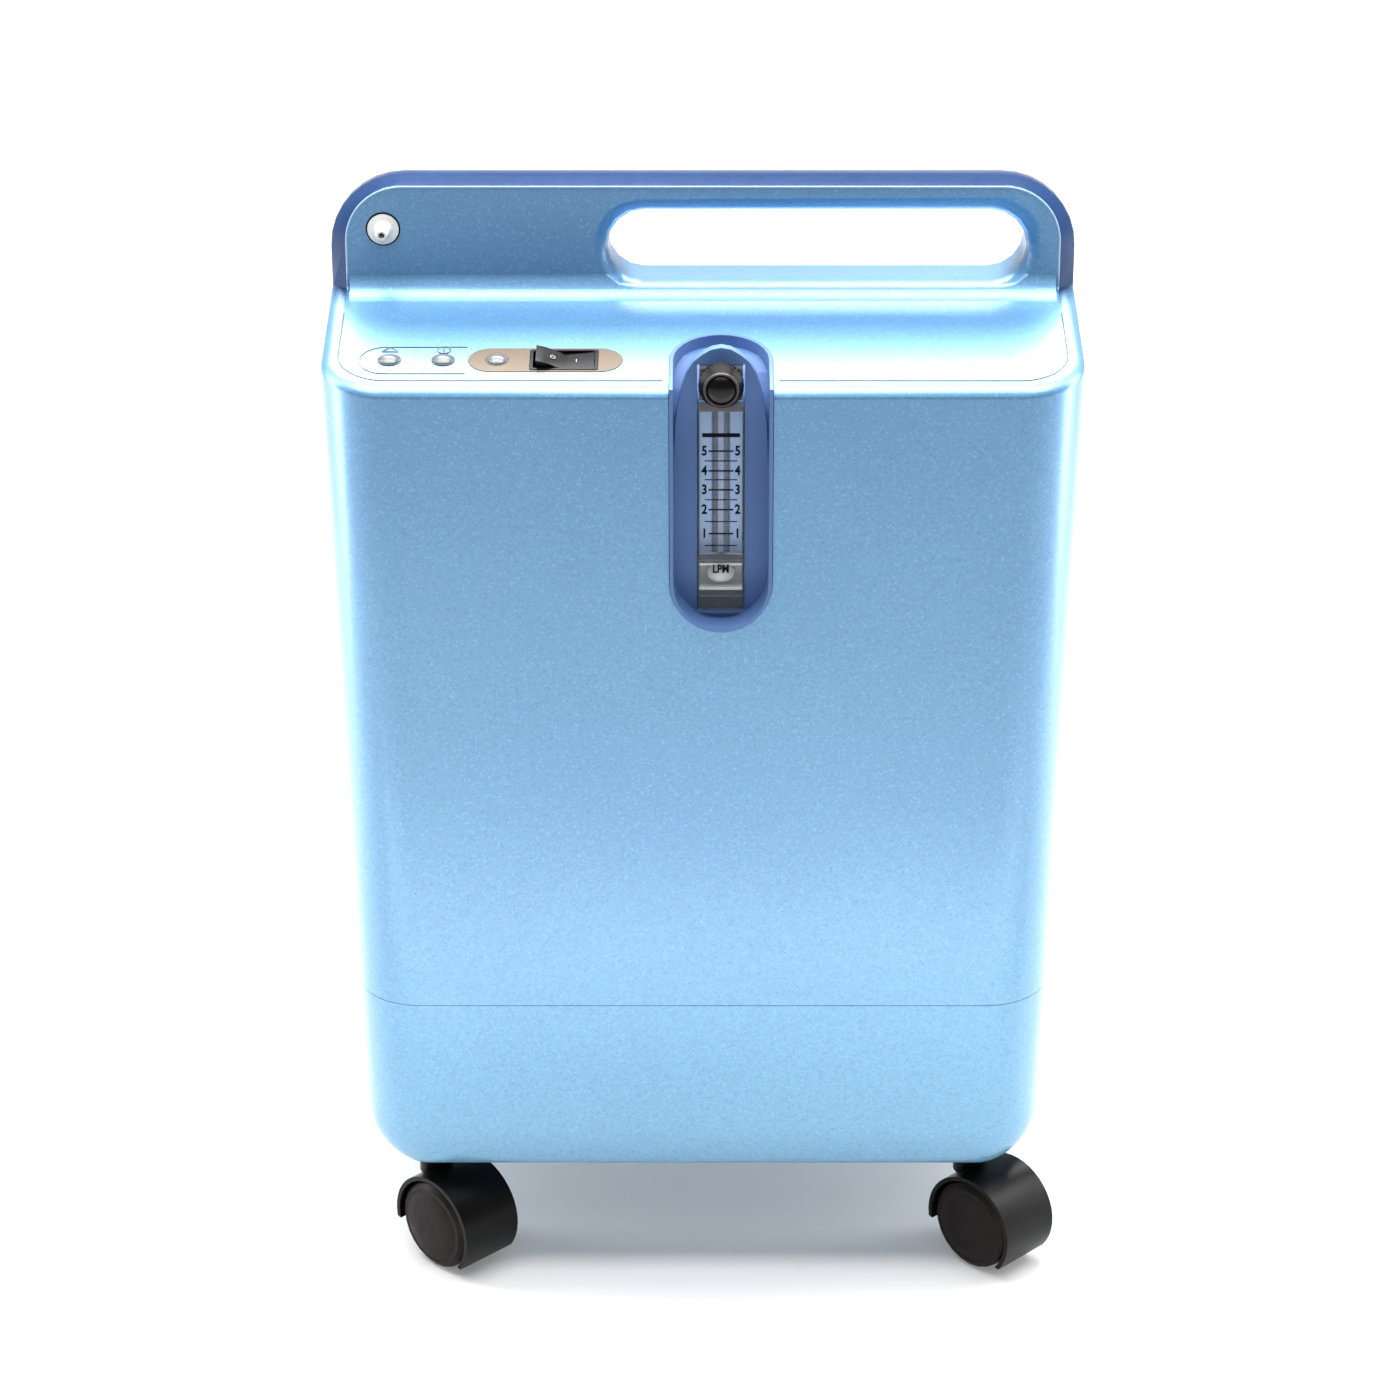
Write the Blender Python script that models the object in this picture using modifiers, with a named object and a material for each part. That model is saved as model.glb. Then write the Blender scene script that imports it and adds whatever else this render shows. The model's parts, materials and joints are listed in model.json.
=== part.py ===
"""Home oxygen concentrator: tapered cabinet with a handle hoop, flow meter and four twin-wheel casters.

Metres, +Z up, +X to the right seen from the front, +Y to the back. The origin is on the floor under
the middle of the cabinet.
"""

from math import cos, pi, radians, sin, tan

import bmesh
import bpy
from mathutils import Matrix, Vector

# Cabinet
HALF_WIDTH = 0.1905
HALF_DEPTH = 0.1205
HEIGHT = 0.584
UNDERSIDE_Z = 0.0645
SEAM_Z = 0.1635
LIP_Z = 0.5047
SIDE_TAPER = 0.0241
FRONT_TAPER = 0.008
CORNER_RADIUS = 0.034
FOOT_RADIUS = 0.024
FOOT_EDGE = 0.0065
WALL = 0.003
GAP = 0.0003
SPLIT_Y = 0.0200

# Deck, shelf and handle hoop
DECK_SLOPE = radians(11)
DECK_FRONT_Y = -0.1115
DECK_FRONT_Z = 0.5091
SHELF_Z = 0.478
HOOP_FRONT_Y = -0.0240
HOOP_BACK_Y = 0.0125
HOOP_RADIUS = 0.038
SLOT_CENTRE = (0.0582, 0.5486)
SLOT_HALF_LENGTH = 0.1069
SLOT_RADIUS = 0.0186
SLOT_RISE = 0.45

# Flow meter and its recess
METER_X = 0.0090
RECESS_HALF_WIDTH = 0.0239
RECESS_BOTTOM_Z = 0.3800
RECESS_PANEL_Y = -0.1040
RECESS_BACK_Y = -0.0680
BEZEL_WALL = 0.0018
TONGUE_THICKNESS = 0.0058
METER_HALF_WIDTH = 0.0116
METER_FRONT_Y = -0.1090
METER_BACK_Y = -0.0950
METER_BOTTOM_Z = 0.3840
METER_TOP_Z = 0.5145
METER_BORE = 0.0036
FLOAT_REST_Z = 0.4110
KNOB_Z = 0.5070
KNOB_RADIUS = 0.0112

# Controls on the deck, as distances from its front edge along the slope
CONTROL_ROW = 0.0198
PLATE_X = (-0.1165, -0.0400)
PLATE_RADIUS = 0.0112
ROCKER_X = -0.0690
ROCKER_HALF = (0.0150, 0.0080)
ROCKER_PIVOT = -0.0026
LENS_X = {"lens_alarm": -0.1559, "lens_service": -0.1291, "lens_power": -0.1023}
LENS_RADIUS = 0.0046

# Casters
CASTER_XY = (0.1450, 0.0868)
CASTER_TURN = radians(-45)
TRAIL = 0.0160
WHEEL_RADIUS = 0.0250
WHEEL_WIDTH = 0.0155
HOOD_HALF_WIDTH = 0.0185
STEM_RADIUS = 0.0050
NECK_RADIUS = 0.0090
STEM_TOP_Z = 0.0990

# Air parts inside
COMPRESSOR_X = -0.050
SIEVE_X = (0.0750, 0.1400)
SIEVE_Y = 0.0500
TRAY_Z = 0.2050
BACKPLATE_Y = 0.0870
DOOR_X = (0.0600, 0.1500)
DOOR_Z = (0.3600, 0.4400)

COLOURS = {
    "cabinet_blue": ((0.25, 0.44, 0.66), 0.35, 0.5),
    "recess_blue": ((0.09, 0.17, 0.38), 0.4, 0.3),
    "clear": ((0.85, 0.90, 0.92), 0.05, 0.0),
    "black_plastic": ((0.012, 0.012, 0.013), 0.35, 0.0),
    "white_plastic": ((0.80, 0.80, 0.78), 0.4, 0.0),
    "taupe": ((0.33, 0.27, 0.21), 0.4, 0.6),
    "lens_silver": ((0.55, 0.57, 0.58), 0.25, 0.4),
    "tyre": ((0.020, 0.016, 0.015), 0.6, 0.0),
    "steel": ((0.60, 0.60, 0.62), 0.3, 1.0),
    "cast_alloy": ((0.52, 0.53, 0.54), 0.5, 1.0),
    "rubber": ((0.03, 0.03, 0.03), 0.8, 0.0),
    "foam": ((0.05, 0.05, 0.055), 0.95, 0.0),
    "grey_plastic": ((0.30, 0.31, 0.32), 0.5, 0.0),
    "board_green": ((0.02, 0.14, 0.06), 0.5, 0.0),
    "brass": ((0.70, 0.50, 0.20), 0.35, 1.0),
}

# Where a flat outline's own axes go: its x and y in the drawing plane, its z along the depth.
FACING_X = Matrix(((0, 0, 1, 0), (1, 0, 0, 0), (0, 1, 0, 0), (0, 0, 0, 1)))
FACING_Y = Matrix(((1, 0, 0, 0), (0, 0, -1, 0), (0, 1, 0, 0), (0, 0, 0, 1)))
FACING_Z = Matrix.Identity(4)


def clear_scene():
    for obj in list(bpy.data.objects):
        bpy.data.objects.remove(obj, do_unlink=True)


def make_collection(name):
    collection = bpy.data.collections.new(name)
    bpy.context.scene.collection.children.link(collection)
    return collection


def make_materials():
    made = {}
    for name, (colour, roughness, metallic) in COLOURS.items():
        material = bpy.data.materials.new(name)
        material.use_nodes = True
        shader = material.node_tree.nodes["Principled BSDF"]
        shader.inputs["Base Color"].default_value = (*colour, 1)
        shader.inputs["Roughness"].default_value = roughness
        shader.inputs["Metallic"].default_value = metallic
        made[name] = material
    return made


clear_scene()
PARTS = make_collection("oxygen_concentrator")
CUTTERS = make_collection("cutters")
MATERIALS = make_materials()


def add_object(name, bm, material):
    """A new object of this mesh: a part when it has a material, and otherwise a cutter."""
    bmesh.ops.recalc_face_normals(bm, faces=bm.faces)
    mesh = bpy.data.meshes.new(name)
    bm.to_mesh(mesh)
    bm.free()
    obj = bpy.data.objects.new(name, mesh)
    if material:
        mesh.materials.append(MATERIALS[material])
        PARTS.objects.link(obj)
    else:
        obj.hide_render = True
        obj.display_type = "WIRE"
        CUTTERS.objects.link(obj)
    return obj


def box(name, low, high, material=None):
    low, high = Vector(low), Vector(high)
    bm = bmesh.new()
    bmesh.ops.create_cube(bm, size=1)
    bmesh.ops.scale(bm, vec=high - low, verts=bm.verts)
    obj = add_object(name, bm, material)
    obj.location = (low + high) / 2
    return obj


def rod(name, radius, start, end, material=None, sides=20):
    start, end = Vector(start), Vector(end)
    bm = bmesh.new()
    bmesh.ops.create_cone(
        bm, cap_ends=True, segments=sides, radius1=radius, radius2=radius, depth=(end - start).length
    )
    obj = add_object(name, bm, material)
    obj.location = (start + end) / 2
    obj.rotation_euler = (end - start).to_track_quat("Z", "Y").to_euler()
    return obj


def turned(name, profile, place, axis, material=None, steps=24):
    """A profile of (radius, height) points, outer side from top to bottom, turned about an axis."""
    bm = bmesh.new()
    points = [bm.verts.new((radius, 0, height)) for radius, height in profile]
    for first, second in zip(points, points[1:]):
        bm.edges.new((first, second))
    obj = add_object(name, bm, material)
    screw = obj.modifiers.new("turn", "SCREW")
    screw.steps = screw.render_steps = steps
    screw.use_merge_vertices = True
    screw.merge_threshold = 1e-6
    obj.location = place
    obj.rotation_euler = Vector(axis).to_track_quat("Z", "Y").to_euler()
    return obj


def outline(name, points, depth, facing, centre=(0, 0, 0), material=None):
    """A flat closed outline with a thickness, made solid."""
    curve = bpy.data.curves.new(name, "CURVE")
    curve.dimensions = "2D"
    curve.fill_mode = "BOTH"
    curve.extrude = depth / 2
    spline = curve.splines.new("POLY")
    spline.points.add(len(points) - 1)
    for point, (x, y) in zip(spline.points, points):
        point.co = (x, y, 0, 1)
    spline.use_cyclic_u = True
    guide = bpy.data.objects.new(name + "_guide", curve)
    CUTTERS.objects.link(guide)
    graph = bpy.context.evaluated_depsgraph_get()
    mesh = bpy.data.meshes.new_from_object(guide.evaluated_get(graph))
    bm = bmesh.new()
    bm.from_mesh(mesh)
    bmesh.ops.remove_doubles(bm, verts=bm.verts, dist=1e-6)
    bpy.data.objects.remove(guide)
    bpy.data.curves.remove(curve)
    bpy.data.meshes.remove(mesh)
    obj = add_object(name, bm, material)
    obj.matrix_world = Matrix.Translation(centre) @ facing
    return obj


def loft(name, rings, material=None):
    """A skin through rings of points that correspond, closed at both ends."""
    bm = bmesh.new()
    rows = [[bm.verts.new(point) for point in ring] for ring in rings]
    count = len(rows[0])
    for lower, upper in zip(rows, rows[1:]):
        for i in range(count):
            j = (i + 1) % count
            bm.faces.new((lower[i], lower[j], upper[j], upper[i]))
    bm.faces.new(list(reversed(rows[0])))
    bm.faces.new(rows[-1])
    return add_object(name, bm, material)


def hose(name, points, radius, material):
    """A solid tube along a smooth route through the points."""
    curve = bpy.data.curves.new(name, "CURVE")
    curve.dimensions = "3D"
    curve.bevel_depth = radius
    curve.bevel_resolution = 2
    curve.use_fill_caps = True
    route = smooth_route([Vector(point) for point in points], 3)
    spline = curve.splines.new("POLY")
    spline.points.add(len(route) - 1)
    for point, place in zip(spline.points, route):
        point.co = (*place, 1)
    curve.materials.append(MATERIALS[material])
    obj = bpy.data.objects.new(name, curve)
    PARTS.objects.link(obj)
    return obj


def smooth_route(points, steps):
    """Points along a Catmull-Rom curve through the given ones."""
    padded = [2 * points[0] - points[1], *points, 2 * points[-1] - points[-2]]
    route = []
    for a, b, c, d in zip(padded, padded[1:], padded[2:], padded[3:]):
        for step in range(steps):
            t = step / steps
            route.append(
                0.5 * (2 * b + (c - a) * t)
                + 0.5 * ((2 * a - 5 * b + 4 * c - d) * t**2 + (3 * b - a - 3 * c + d) * t**3)
            )
    return [*route, points[-1]]


def combine(obj, other, operation):
    modifier = obj.modifiers.new(other.name, "BOOLEAN")
    modifier.operation = operation
    modifier.object = other


def cut(obj, *others):
    for other in others:
        combine(obj, other, "DIFFERENCE")


def fuse(obj, *others):
    for other in others:
        combine(obj, other, "UNION")


def soften(obj, width, segments=2):
    """Rounded edges on a piece whose edges are all free."""
    bevel = obj.modifiers.new("edges", "BEVEL")
    bevel.width = width
    bevel.segments = segments
    bevel.limit_method = "ANGLE"
    bevel.angle_limit = radians(35)


def arc(centre, radius, start, end, steps):
    """Points on an arc, angles in degrees."""
    angles = [radians(start + (end - start) * i / steps) for i in range(steps + 1)]
    return [(centre[0] + radius * cos(a), centre[1] + radius * sin(a)) for a in angles]


def stadium(centre, half_length, radius, steps=8):
    reach = half_length - radius
    right = arc((centre[0] + reach, centre[1]), radius, -90, 90, steps)
    return right + arc((centre[0] - reach, centre[1]), radius, 90, 270, steps)


def rounded_box(low, high, radius, steps=5):
    """A rectangle's outline with four equal round corners."""
    corners = (
        ((high[0] - radius, high[1] - radius), 0),
        ((low[0] + radius, high[1] - radius), 90),
        ((low[0] + radius, low[1] + radius), 180),
        ((high[0] - radius, low[1] + radius), 270),
    )
    return [point for centre, start in corners for point in arc(centre, radius, start, start + 90, steps)]


def deck_z(y):
    return DECK_FRONT_Z + (y - DECK_FRONT_Y) * tan(DECK_SLOPE)


def casing_ring(height_at, inset, end_inset=None):
    """The cabinet's plan outline, brought in by inset (end_inset at its front and back), at height_at(y)."""
    end_inset = inset if end_inset is None else end_inset
    front_z = height_at(-HALF_DEPTH)
    front = -HALF_DEPTH + max(LIP_Z - front_z, 0) * FRONT_TAPER + end_inset
    back = HALF_DEPTH - end_inset
    radius = max(CORNER_RADIUS - inset, 0.004)
    ring = []
    for side, start in ((1, -90), (1, 0), (-1, 90), (-1, 180)):
        y_centre = front + radius if start in (-90, 180) else back - radius
        for _, y in arc((0, y_centre), radius, start, start + 90, 8):
            z = height_at(y)
            half = HALF_WIDTH - max(LIP_Z - z, 0) * SIDE_TAPER - inset
            ring.append((half, y, z, side, y_centre))
    points = []
    for half, y, z, side, y_centre in ring:
        reach = max(radius**2 - (y - y_centre) ** 2, 0) ** 0.5
        points.append((side * (half - radius + reach), y, z))
    return points


def casing_form(name, inset, material=None):
    """The cabinet below its deck. An inset form is the hollow inside the walls."""
    foot = FOOT_RADIUS - inset
    edge = FOOT_EDGE - inset / 2
    rings = []
    for step in range(7):
        turn = radians(90 * step / 6)
        z = UNDERSIDE_Z + inset + foot * (1 - cos(turn))
        left = 1 - sin(turn)
        rings.append(casing_ring(lambda y, z=z: z, inset + foot * left, inset + edge * left))
    if inset:
        rings.append(casing_ring(lambda y: deck_z(y) - inset - 0.0012, inset + 0.0012))
    else:
        for drop, edge in ((0.0052, 0), (0.0036, 0.0005), (0.0020, 0.0020), (0.0007, 0.0046), (0, 0.0080)):
            rings.append(casing_ring(lambda y, drop=drop: deck_z(y) - drop, edge))
    return loft(name, rings, material)


def hoop_form():
    """The handle hoop: its sides slope out from the face, and its top is crowned and falls to the back."""
    stations = (
        (HOOP_FRONT_Y, 0.0094, 0.0026),
        (HOOP_FRONT_Y + 0.0006, 0.0087, 0.0019),
        (HOOP_FRONT_Y + 0.0130, 0.0004, 0.0001),
        (HOOP_FRONT_Y + 0.0170, 0.0, 0.0),
        (0.0010, 0.0, 0.0010),
        (0.0065, 0.0006, 0.0028),
        (HOOP_BACK_Y - 0.0018, 0.0022, 0.0052),
        (HOOP_BACK_Y, 0.0050, 0.0085),
    )
    rings = []
    for y, side_in, top_in in stations:
        half = HALF_WIDTH - side_in
        radius = HOOP_RADIUS - side_in
        top = HEIGHT - top_in
        profile = [(half, 0.500)]
        profile += arc((half - radius, top - radius), radius, 0, 90, 8)
        profile += arc((radius - half, top - radius), radius, 90, 180, 8)
        profile += [(-half, 0.500)]
        rings.append([(x, y, z) for x, z in profile])
    return loft("hoop_form", rings)


def slot_form():
    """The hand slot's cutter. The rim is rounded, and at the front widely so above and at the ends."""
    stations = (
        (HOOP_FRONT_Y - 0.0100, 0.0085, SLOT_RISE),
        (HOOP_FRONT_Y - 0.0002, 0.0085, SLOT_RISE),
        (HOOP_FRONT_Y + 0.0015, 0.0052, SLOT_RISE),
        (HOOP_FRONT_Y + 0.0042, 0.0022, SLOT_RISE),
        (HOOP_FRONT_Y + 0.0085, 0.0, 0.0),
        (HOOP_BACK_Y - 0.0045, 0.0, 0.0),
        (HOOP_BACK_Y - 0.0013, 0.0022, 0.0),
        (HOOP_BACK_Y + 0.0002, 0.0045, 0.0),
        (HOOP_BACK_Y + 0.0100, 0.0045, 0.0),
    )
    rings = []
    for y, flare, rise in stations:
        ring = stadium((0, 0), SLOT_HALF_LENGTH + flare, SLOT_RADIUS + flare * 0.6)
        rings.append([(SLOT_CENTRE[0] + x, y, SLOT_CENTRE[1] + flare * rise + z) for x, z in ring])
    return loft("slot_form", rings)


def cove_form():
    """The concave sweep from the deck up into the hoop's face."""
    start, end = 24, 90
    radius = 0.0175
    centre = (HOOP_FRONT_Y - radius + 0.0006, 0.5402)
    curve = [
        (centre[0] + radius * sin(radians(a)), centre[1] - radius * cos(radians(a)))
        for a in range(start, end + 1, 6)
    ]
    profile = [*curve, (-0.0150, curve[-1][1]), (-0.0150, 0.5160), (curve[0][0], 0.5160)]
    return outline("cove_form", profile, 2 * (HALF_WIDTH - 0.0105), FACING_X)


def recess_form(name, grow):
    """The flow meter's recess: a round-bottomed channel in the front that opens as a scoop in the deck."""
    half = RECESS_HALF_WIDTH + grow
    panel = RECESS_PANEL_Y + grow
    back = RECESS_BACK_Y + grow
    bottom = RECESS_BOTTOM_Z - grow
    scoop = [
        (panel + (back - panel) * (1 - cos(radians(a))), 0.4600 + 0.0520 * sin(radians(a)) - grow)
        for a in range(0, 91, 15)
    ]
    side = [(-0.1400, bottom - 0.0100), (panel, bottom - 0.0100), *scoop, (back, 0.5600), (-0.1400, 0.5600)]
    channel = outline(name, side, 2 * half, FACING_X, (METER_X, 0, 0))
    plan = [(METER_X + half, -0.1500)]
    plan += arc((METER_X, back - half), half, 0, 180, 14)
    plan += [(METER_X - half, -0.1500)]
    combine(channel, outline(name + "_plan", plan, 0.4000, FACING_Z, (0, 0, 0.4500)), "INTERSECT")
    front = [(METER_X + half, 0.6000), (METER_X - half, 0.6000)]
    front += arc((METER_X, bottom + half), half, 180, 360, 14)
    combine(channel, outline(name + "_front", front, 0.2000, FACING_Y, (0, -0.0900, 0)), "INTERSECT")
    return channel


def deck_place(x, along, lift=0.0):
    """The placement of something on the deck: its z along the deck's normal."""
    y = DECK_FRONT_Y + along * cos(DECK_SLOPE)
    spot = Matrix.Translation((x, y, deck_z(y)))
    return spot @ Matrix.Rotation(DECK_SLOPE, 4, "X") @ Matrix.Translation((0, 0, lift))


def on_deck(obj, x, along, lift=0.0):
    obj.matrix_world = deck_place(x, along, lift)
    return obj


def make_cabinet():
    """The two housings and the base pan, parted at the seam and at the upright split."""
    hoop = hoop_form()
    cove = cove_form()
    slot = slot_form()
    hollow = casing_form("hollow", WALL)
    behind_hoop = box("behind_hoop", (-0.3, HOOP_BACK_Y, SHELF_Z), (0.3, 0.3, 0.8))
    hollow_step = box("hollow_step", (-0.3, HOOP_BACK_Y - WALL, SHELF_Z - WALL), (0.3, 0.3, 0.8))
    cut(hollow, hollow_step)
    outlet_hollow = box("outlet_hollow", (-0.1720, HOOP_FRONT_Y + WALL, 0.5100), (-0.0680, 0.0095, 0.5690))

    front = casing_form("front_cabinet", 0, "cabinet_blue")
    cut(front, behind_hoop)
    fuse(front, hoop, cove)
    front_zone = box("front_zone", (-0.3, -0.3, SEAM_Z + GAP), (0.3, SPLIT_Y - GAP, 0.8))
    combine(front, front_zone, "INTERSECT")
    cut(front, hollow, outlet_hollow, slot, recess_form("bezel_seat", BEZEL_WALL + GAP))

    rear = casing_form("rear_cabinet", 0, "cabinet_blue")
    cut(rear, behind_hoop)
    rear_zone = box("rear_zone", (-0.3, SPLIT_Y, SEAM_Z + GAP), (0.3, 0.3, 0.8))
    combine(rear, rear_zone, "INTERSECT")
    cut(rear, hollow)

    base = casing_form("base_pan", 0, "cabinet_blue")
    base_zone = box("base_zone", (-0.3, -0.3, 0.0), (0.3, 0.3, SEAM_Z))
    combine(base, base_zone, "INTERSECT")
    cut(base, hollow)
    return front, rear, base


def tongue_form():
    """The arch-topped plate that carries the flow meter up past the start of the scoop."""
    right = [
        (0.0232, 0.4520), (0.0232, 0.4700), (0.0227, 0.4838), (0.0216, 0.4925), (0.0198, 0.5020),
        (0.0172, 0.5105), (0.0140, 0.5160), (0.0095, 0.5198), (0.0050, 0.5225), (0.0, 0.5235),
    ]
    ring = right + [(-x, z) for x, z in reversed(right[:-1])]
    front = RECESS_PANEL_Y + 0.0002
    points = [(METER_X + x, z) for x, z in ring]
    return outline("tongue", points, TONGUE_THICKNESS, FACING_Y, (0, front + TONGUE_THICKNESS / 2, 0))


def make_flow_meter():
    bezel = recess_form("flowmeter_bezel_outer", BEZEL_WALL)
    shell = box("flowmeter_bezel", (-0.04, -0.1210, 0.37), (0.06, -0.05, 0.5300), "recess_blue")
    combine(shell, bezel, "INTERSECT")
    above_deck = outline(
        "above_deck",
        [(-0.14, deck_z(-0.14) + 0.0004), (-0.03, deck_z(-0.03) + 0.0004), (-0.03, 0.60), (-0.14, 0.60)],
        0.2,
        FACING_X,
    )
    cut(shell, above_deck, recess_form("recess", 0))
    fuse(shell, tongue_form())
    seat = METER_HALF_WIDTH + GAP
    window_low = (METER_X - seat, METER_FRONT_Y, METER_BOTTOM_Z - GAP)
    window_high = (METER_X + seat, METER_BACK_Y + GAP, METER_TOP_Z + GAP)
    cut(shell, box("meter_window", window_low, window_high))

    body = box(
        "flowmeter_body",
        (METER_X - METER_HALF_WIDTH, METER_FRONT_Y, METER_BOTTOM_Z),
        (METER_X + METER_HALF_WIDTH, METER_BACK_Y, METER_TOP_Z),
        "clear",
    )
    middle = (METER_FRONT_Y + METER_BACK_Y) / 2
    cut(body, rod("meter_bore", METER_BORE, (METER_X, middle, 0.4020), (METER_X, middle, 0.5300), sides=24))
    valve_hole = rod("valve_hole", 0.00208, (METER_X, -0.1200, KNOB_Z), (METER_X, middle, KNOB_Z), sides=24)
    cut(body, valve_hole)
    for name, z in (("inlet_port", 0.3965), ("outlet_port", 0.4880)):
        port_back = METER_BACK_Y + 0.010
        cut(shell, rod(name + "_hole", 0.0039, (METER_X, METER_BACK_Y, z), (METER_X, port_back, z), sides=20))
        fuse(
            body,
            rod(
                name,
                0.0035,
                (METER_X, METER_BACK_Y - 0.002, z),
                (METER_X, METER_BACK_Y + 0.009, z),
                sides=20,
            ),
        )

    float_ball = [
        (0, 0.0030), (0.0018, 0.0025), (0.0030, 0.0012), (0.0030, -0.0012), (0.0018, -0.0025),
        (0, -0.0030),
    ]
    turned("flow_float", float_ball, (METER_X, middle, FLOAT_REST_Z), (0, 0, 1), "black_plastic", 14)
    knob_profile = [
        (0, 0.0105),
        (0.0070, 0.0105),
        (0.0088, 0.0096),
        (0.0096, 0.0080),
        (KNOB_RADIUS, 0.0055),
        (KNOB_RADIUS, 0.0006),
        (0.0098, 0),
        (0.0023, 0),
        (0.0023, 0.0045),
        (0, 0.0045),
    ]
    turned("flow_knob", knob_profile, (METER_X, METER_FRONT_Y - GAP, KNOB_Z), (0, -1, 0), "black_plastic", 28)
    needle = [(0, 0.0040), (0.0020, 0.0040), (0.0020, -0.0050), (0.0006, -0.0075), (0, -0.0075)]
    turned("needle_valve", needle, (METER_X, METER_FRONT_Y - GAP, KNOB_Z), (0, -1, 0), "brass", 12)
    return body


def make_outlet(front):
    """The barbed oxygen outlet in its round seat, pointing straight forward."""
    place = Vector((-0.1623, HOOP_FRONT_Y, 0.5595))
    cut(
        front,
        rod(
            "outlet_seat",
            0.0084,
            place - Vector((0, 0.01, 0)),
            place + Vector((0, 0.0012, 0)),
            sides=20,
        ),
    )
    cut(
        front,
        rod(
            "outlet_hole",
            0.0049,
            place - Vector((0, 0.01, 0)),
            place + Vector((0, 0.0060, 0)),
            sides=20,
        ),
    )
    profile = [
        (0.0016, 0.0118),
        (0.0026, 0.0118),
        (0.0034, 0.0090),
        (0.0028, 0.0088),
        (0.0036, 0.0056),
        (0.0030, 0.0052),
        (0.0046, 0.0012),
        (0.0080, 0.0008),
        (0.0080, -0.0008),
        (0.0045, -0.0008),
        (0.0045, -0.0060),
        (0.0030, -0.0060),
        (0.0030, -0.0100),
        (0.0016, -0.0100),
        (0.0016, 0.0118),
    ]
    turned("oxygen_outlet", profile, place, (0, -1, 0), "white_plastic", 20)


def make_controls(front):
    """The taupe plate with the power switch, and three indicator lenses."""
    middle = (PLATE_X[0] + PLATE_X[1]) / 2
    half = (PLATE_X[1] - PLATE_X[0]) / 2
    seat = outline("plate_seat", stadium((0, 0), half + GAP, PLATE_RADIUS + GAP), 0.0052, FACING_Z)
    cut(front, on_deck(seat, middle, CONTROL_ROW, 0.0016))
    plate = outline("panel_plate", stadium((0, 0), half, PLATE_RADIUS), 0.0010, FACING_Z, material="taupe")
    on_deck(plate, middle, CONTROL_ROW, -0.0002)

    def well(name, grow, depth):
        size = [ROCKER_HALF[0] + grow, ROCKER_HALF[1] + grow]
        shape = rounded_box((-size[0], -size[1]), size, 0.0012, 2)
        return outline(name, shape, depth, FACING_Z)

    for target, grow in ((front, 0.0018 + GAP), (plate, 0.0018 + GAP)):
        cut(target, on_deck(well(target.name + "_well", grow, 0.0300), ROCKER_X, CONTROL_ROW, -0.0080))
    housing = on_deck(well("switch_housing_form", 0.0018, 0.0160), ROCKER_X, CONTROL_ROW, -0.0074)
    housing_part = box("switch_housing", (-0.10, -0.12, 0.48), (-0.03, -0.06, 0.53), "black_plastic")
    combine(housing_part, housing, "INTERSECT")
    inside = on_deck(well("switch_inside", 0.0004, 0.0160), ROCKER_X, CONTROL_ROW, -0.0044)
    cut(housing_part, inside)
    for side in (-1, 1):
        trunnion = rod(f"trunnion_{side}", 0.0012, (0, 0, -0.0019), (0, 0, 0.0019), sides=12)
        trunnion.matrix_world = deck_place(ROCKER_X, CONTROL_ROW, ROCKER_PIVOT) @ trunnion_turn(side)
        fuse(housing_part, trunnion)

    rocker_profile = [(-0.0146, 0.0052), (-0.0100, 0.0047), (0, 0.0018), (0.0100, 0.0036), (0.0146, 0.0047)]
    rocker_profile += [(0.0128, -0.0006), (0.0050, -0.0046), (-0.0050, -0.0046), (-0.0128, -0.0006)]
    rocker = outline(
        "power_rocker",
        rocker_profile,
        2 * ROCKER_HALF[1] - 0.0006,
        FACING_Y,
        material="black_plastic",
    )
    tilt = Matrix.Rotation(radians(7), 4, "Y")
    rocker.matrix_world = deck_place(ROCKER_X, CONTROL_ROW, ROCKER_PIVOT) @ tilt @ FACING_Y
    pivot = rod("rocker_bore", 0.00135, (0, -0.02, 0), (0, 0.02, 0), sides=12)
    pivot.matrix_world = deck_place(ROCKER_X, CONTROL_ROW, ROCKER_PIVOT) @ Matrix.Rotation(pi / 2, 4, "X")
    cut(rocker, pivot)

    for name, x in LENS_X.items():
        hole = rod(name + "_hole", LENS_RADIUS * 0.72 + GAP, (0, 0, -0.010), (0, 0, 0.010), sides=20)
        on_deck(hole, x, CONTROL_ROW)
        cut(plate if name == "lens_power" else front, hole)
        if name == "lens_power":
            cut(front, hole)
        dome = [(0, 0.0022), (0.0022, 0.0019), (0.0038, 0.0011), (LENS_RADIUS, 0.0004)]
        dome += [(LENS_RADIUS * 0.72, 0.00035), (LENS_RADIUS * 0.72, -0.0070), (0, -0.0070)]
        lens = turned(name, dome, (0, 0, 0), (0, 0, 1), "lens_silver", 16)
        on_deck(lens, x, CONTROL_ROW, GAP)


def trunnion_turn(side):
    return Matrix.Translation((0, side * (ROCKER_HALF[1] + 0.0002), 0)) @ Matrix.Rotation(pi / 2, 4, "X")


def make_side_stud(front):
    """The navy button on the left side."""
    z = 0.4800
    x = -(HALF_WIDTH - (LIP_Z - z) * SIDE_TAPER)
    profile = [
        (0, 0.0062), (0.0050, 0.0057), (0.0088, 0.0038), (0.0108, 0.0008), (0.0108, 0.0005),
        (0.0042, 0.0005),
    ]
    profile += [(0.0042, -0.0080), (0, -0.0080)]
    turned("side_stud", profile, (x, -0.0300, z), (-1, 0, 0), "recess_blue", 20)
    cut(front, rod("stud_hole", 0.0045, (x - 0.01, -0.03, z), (x + 0.01, -0.03, z), sides=20))


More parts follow.
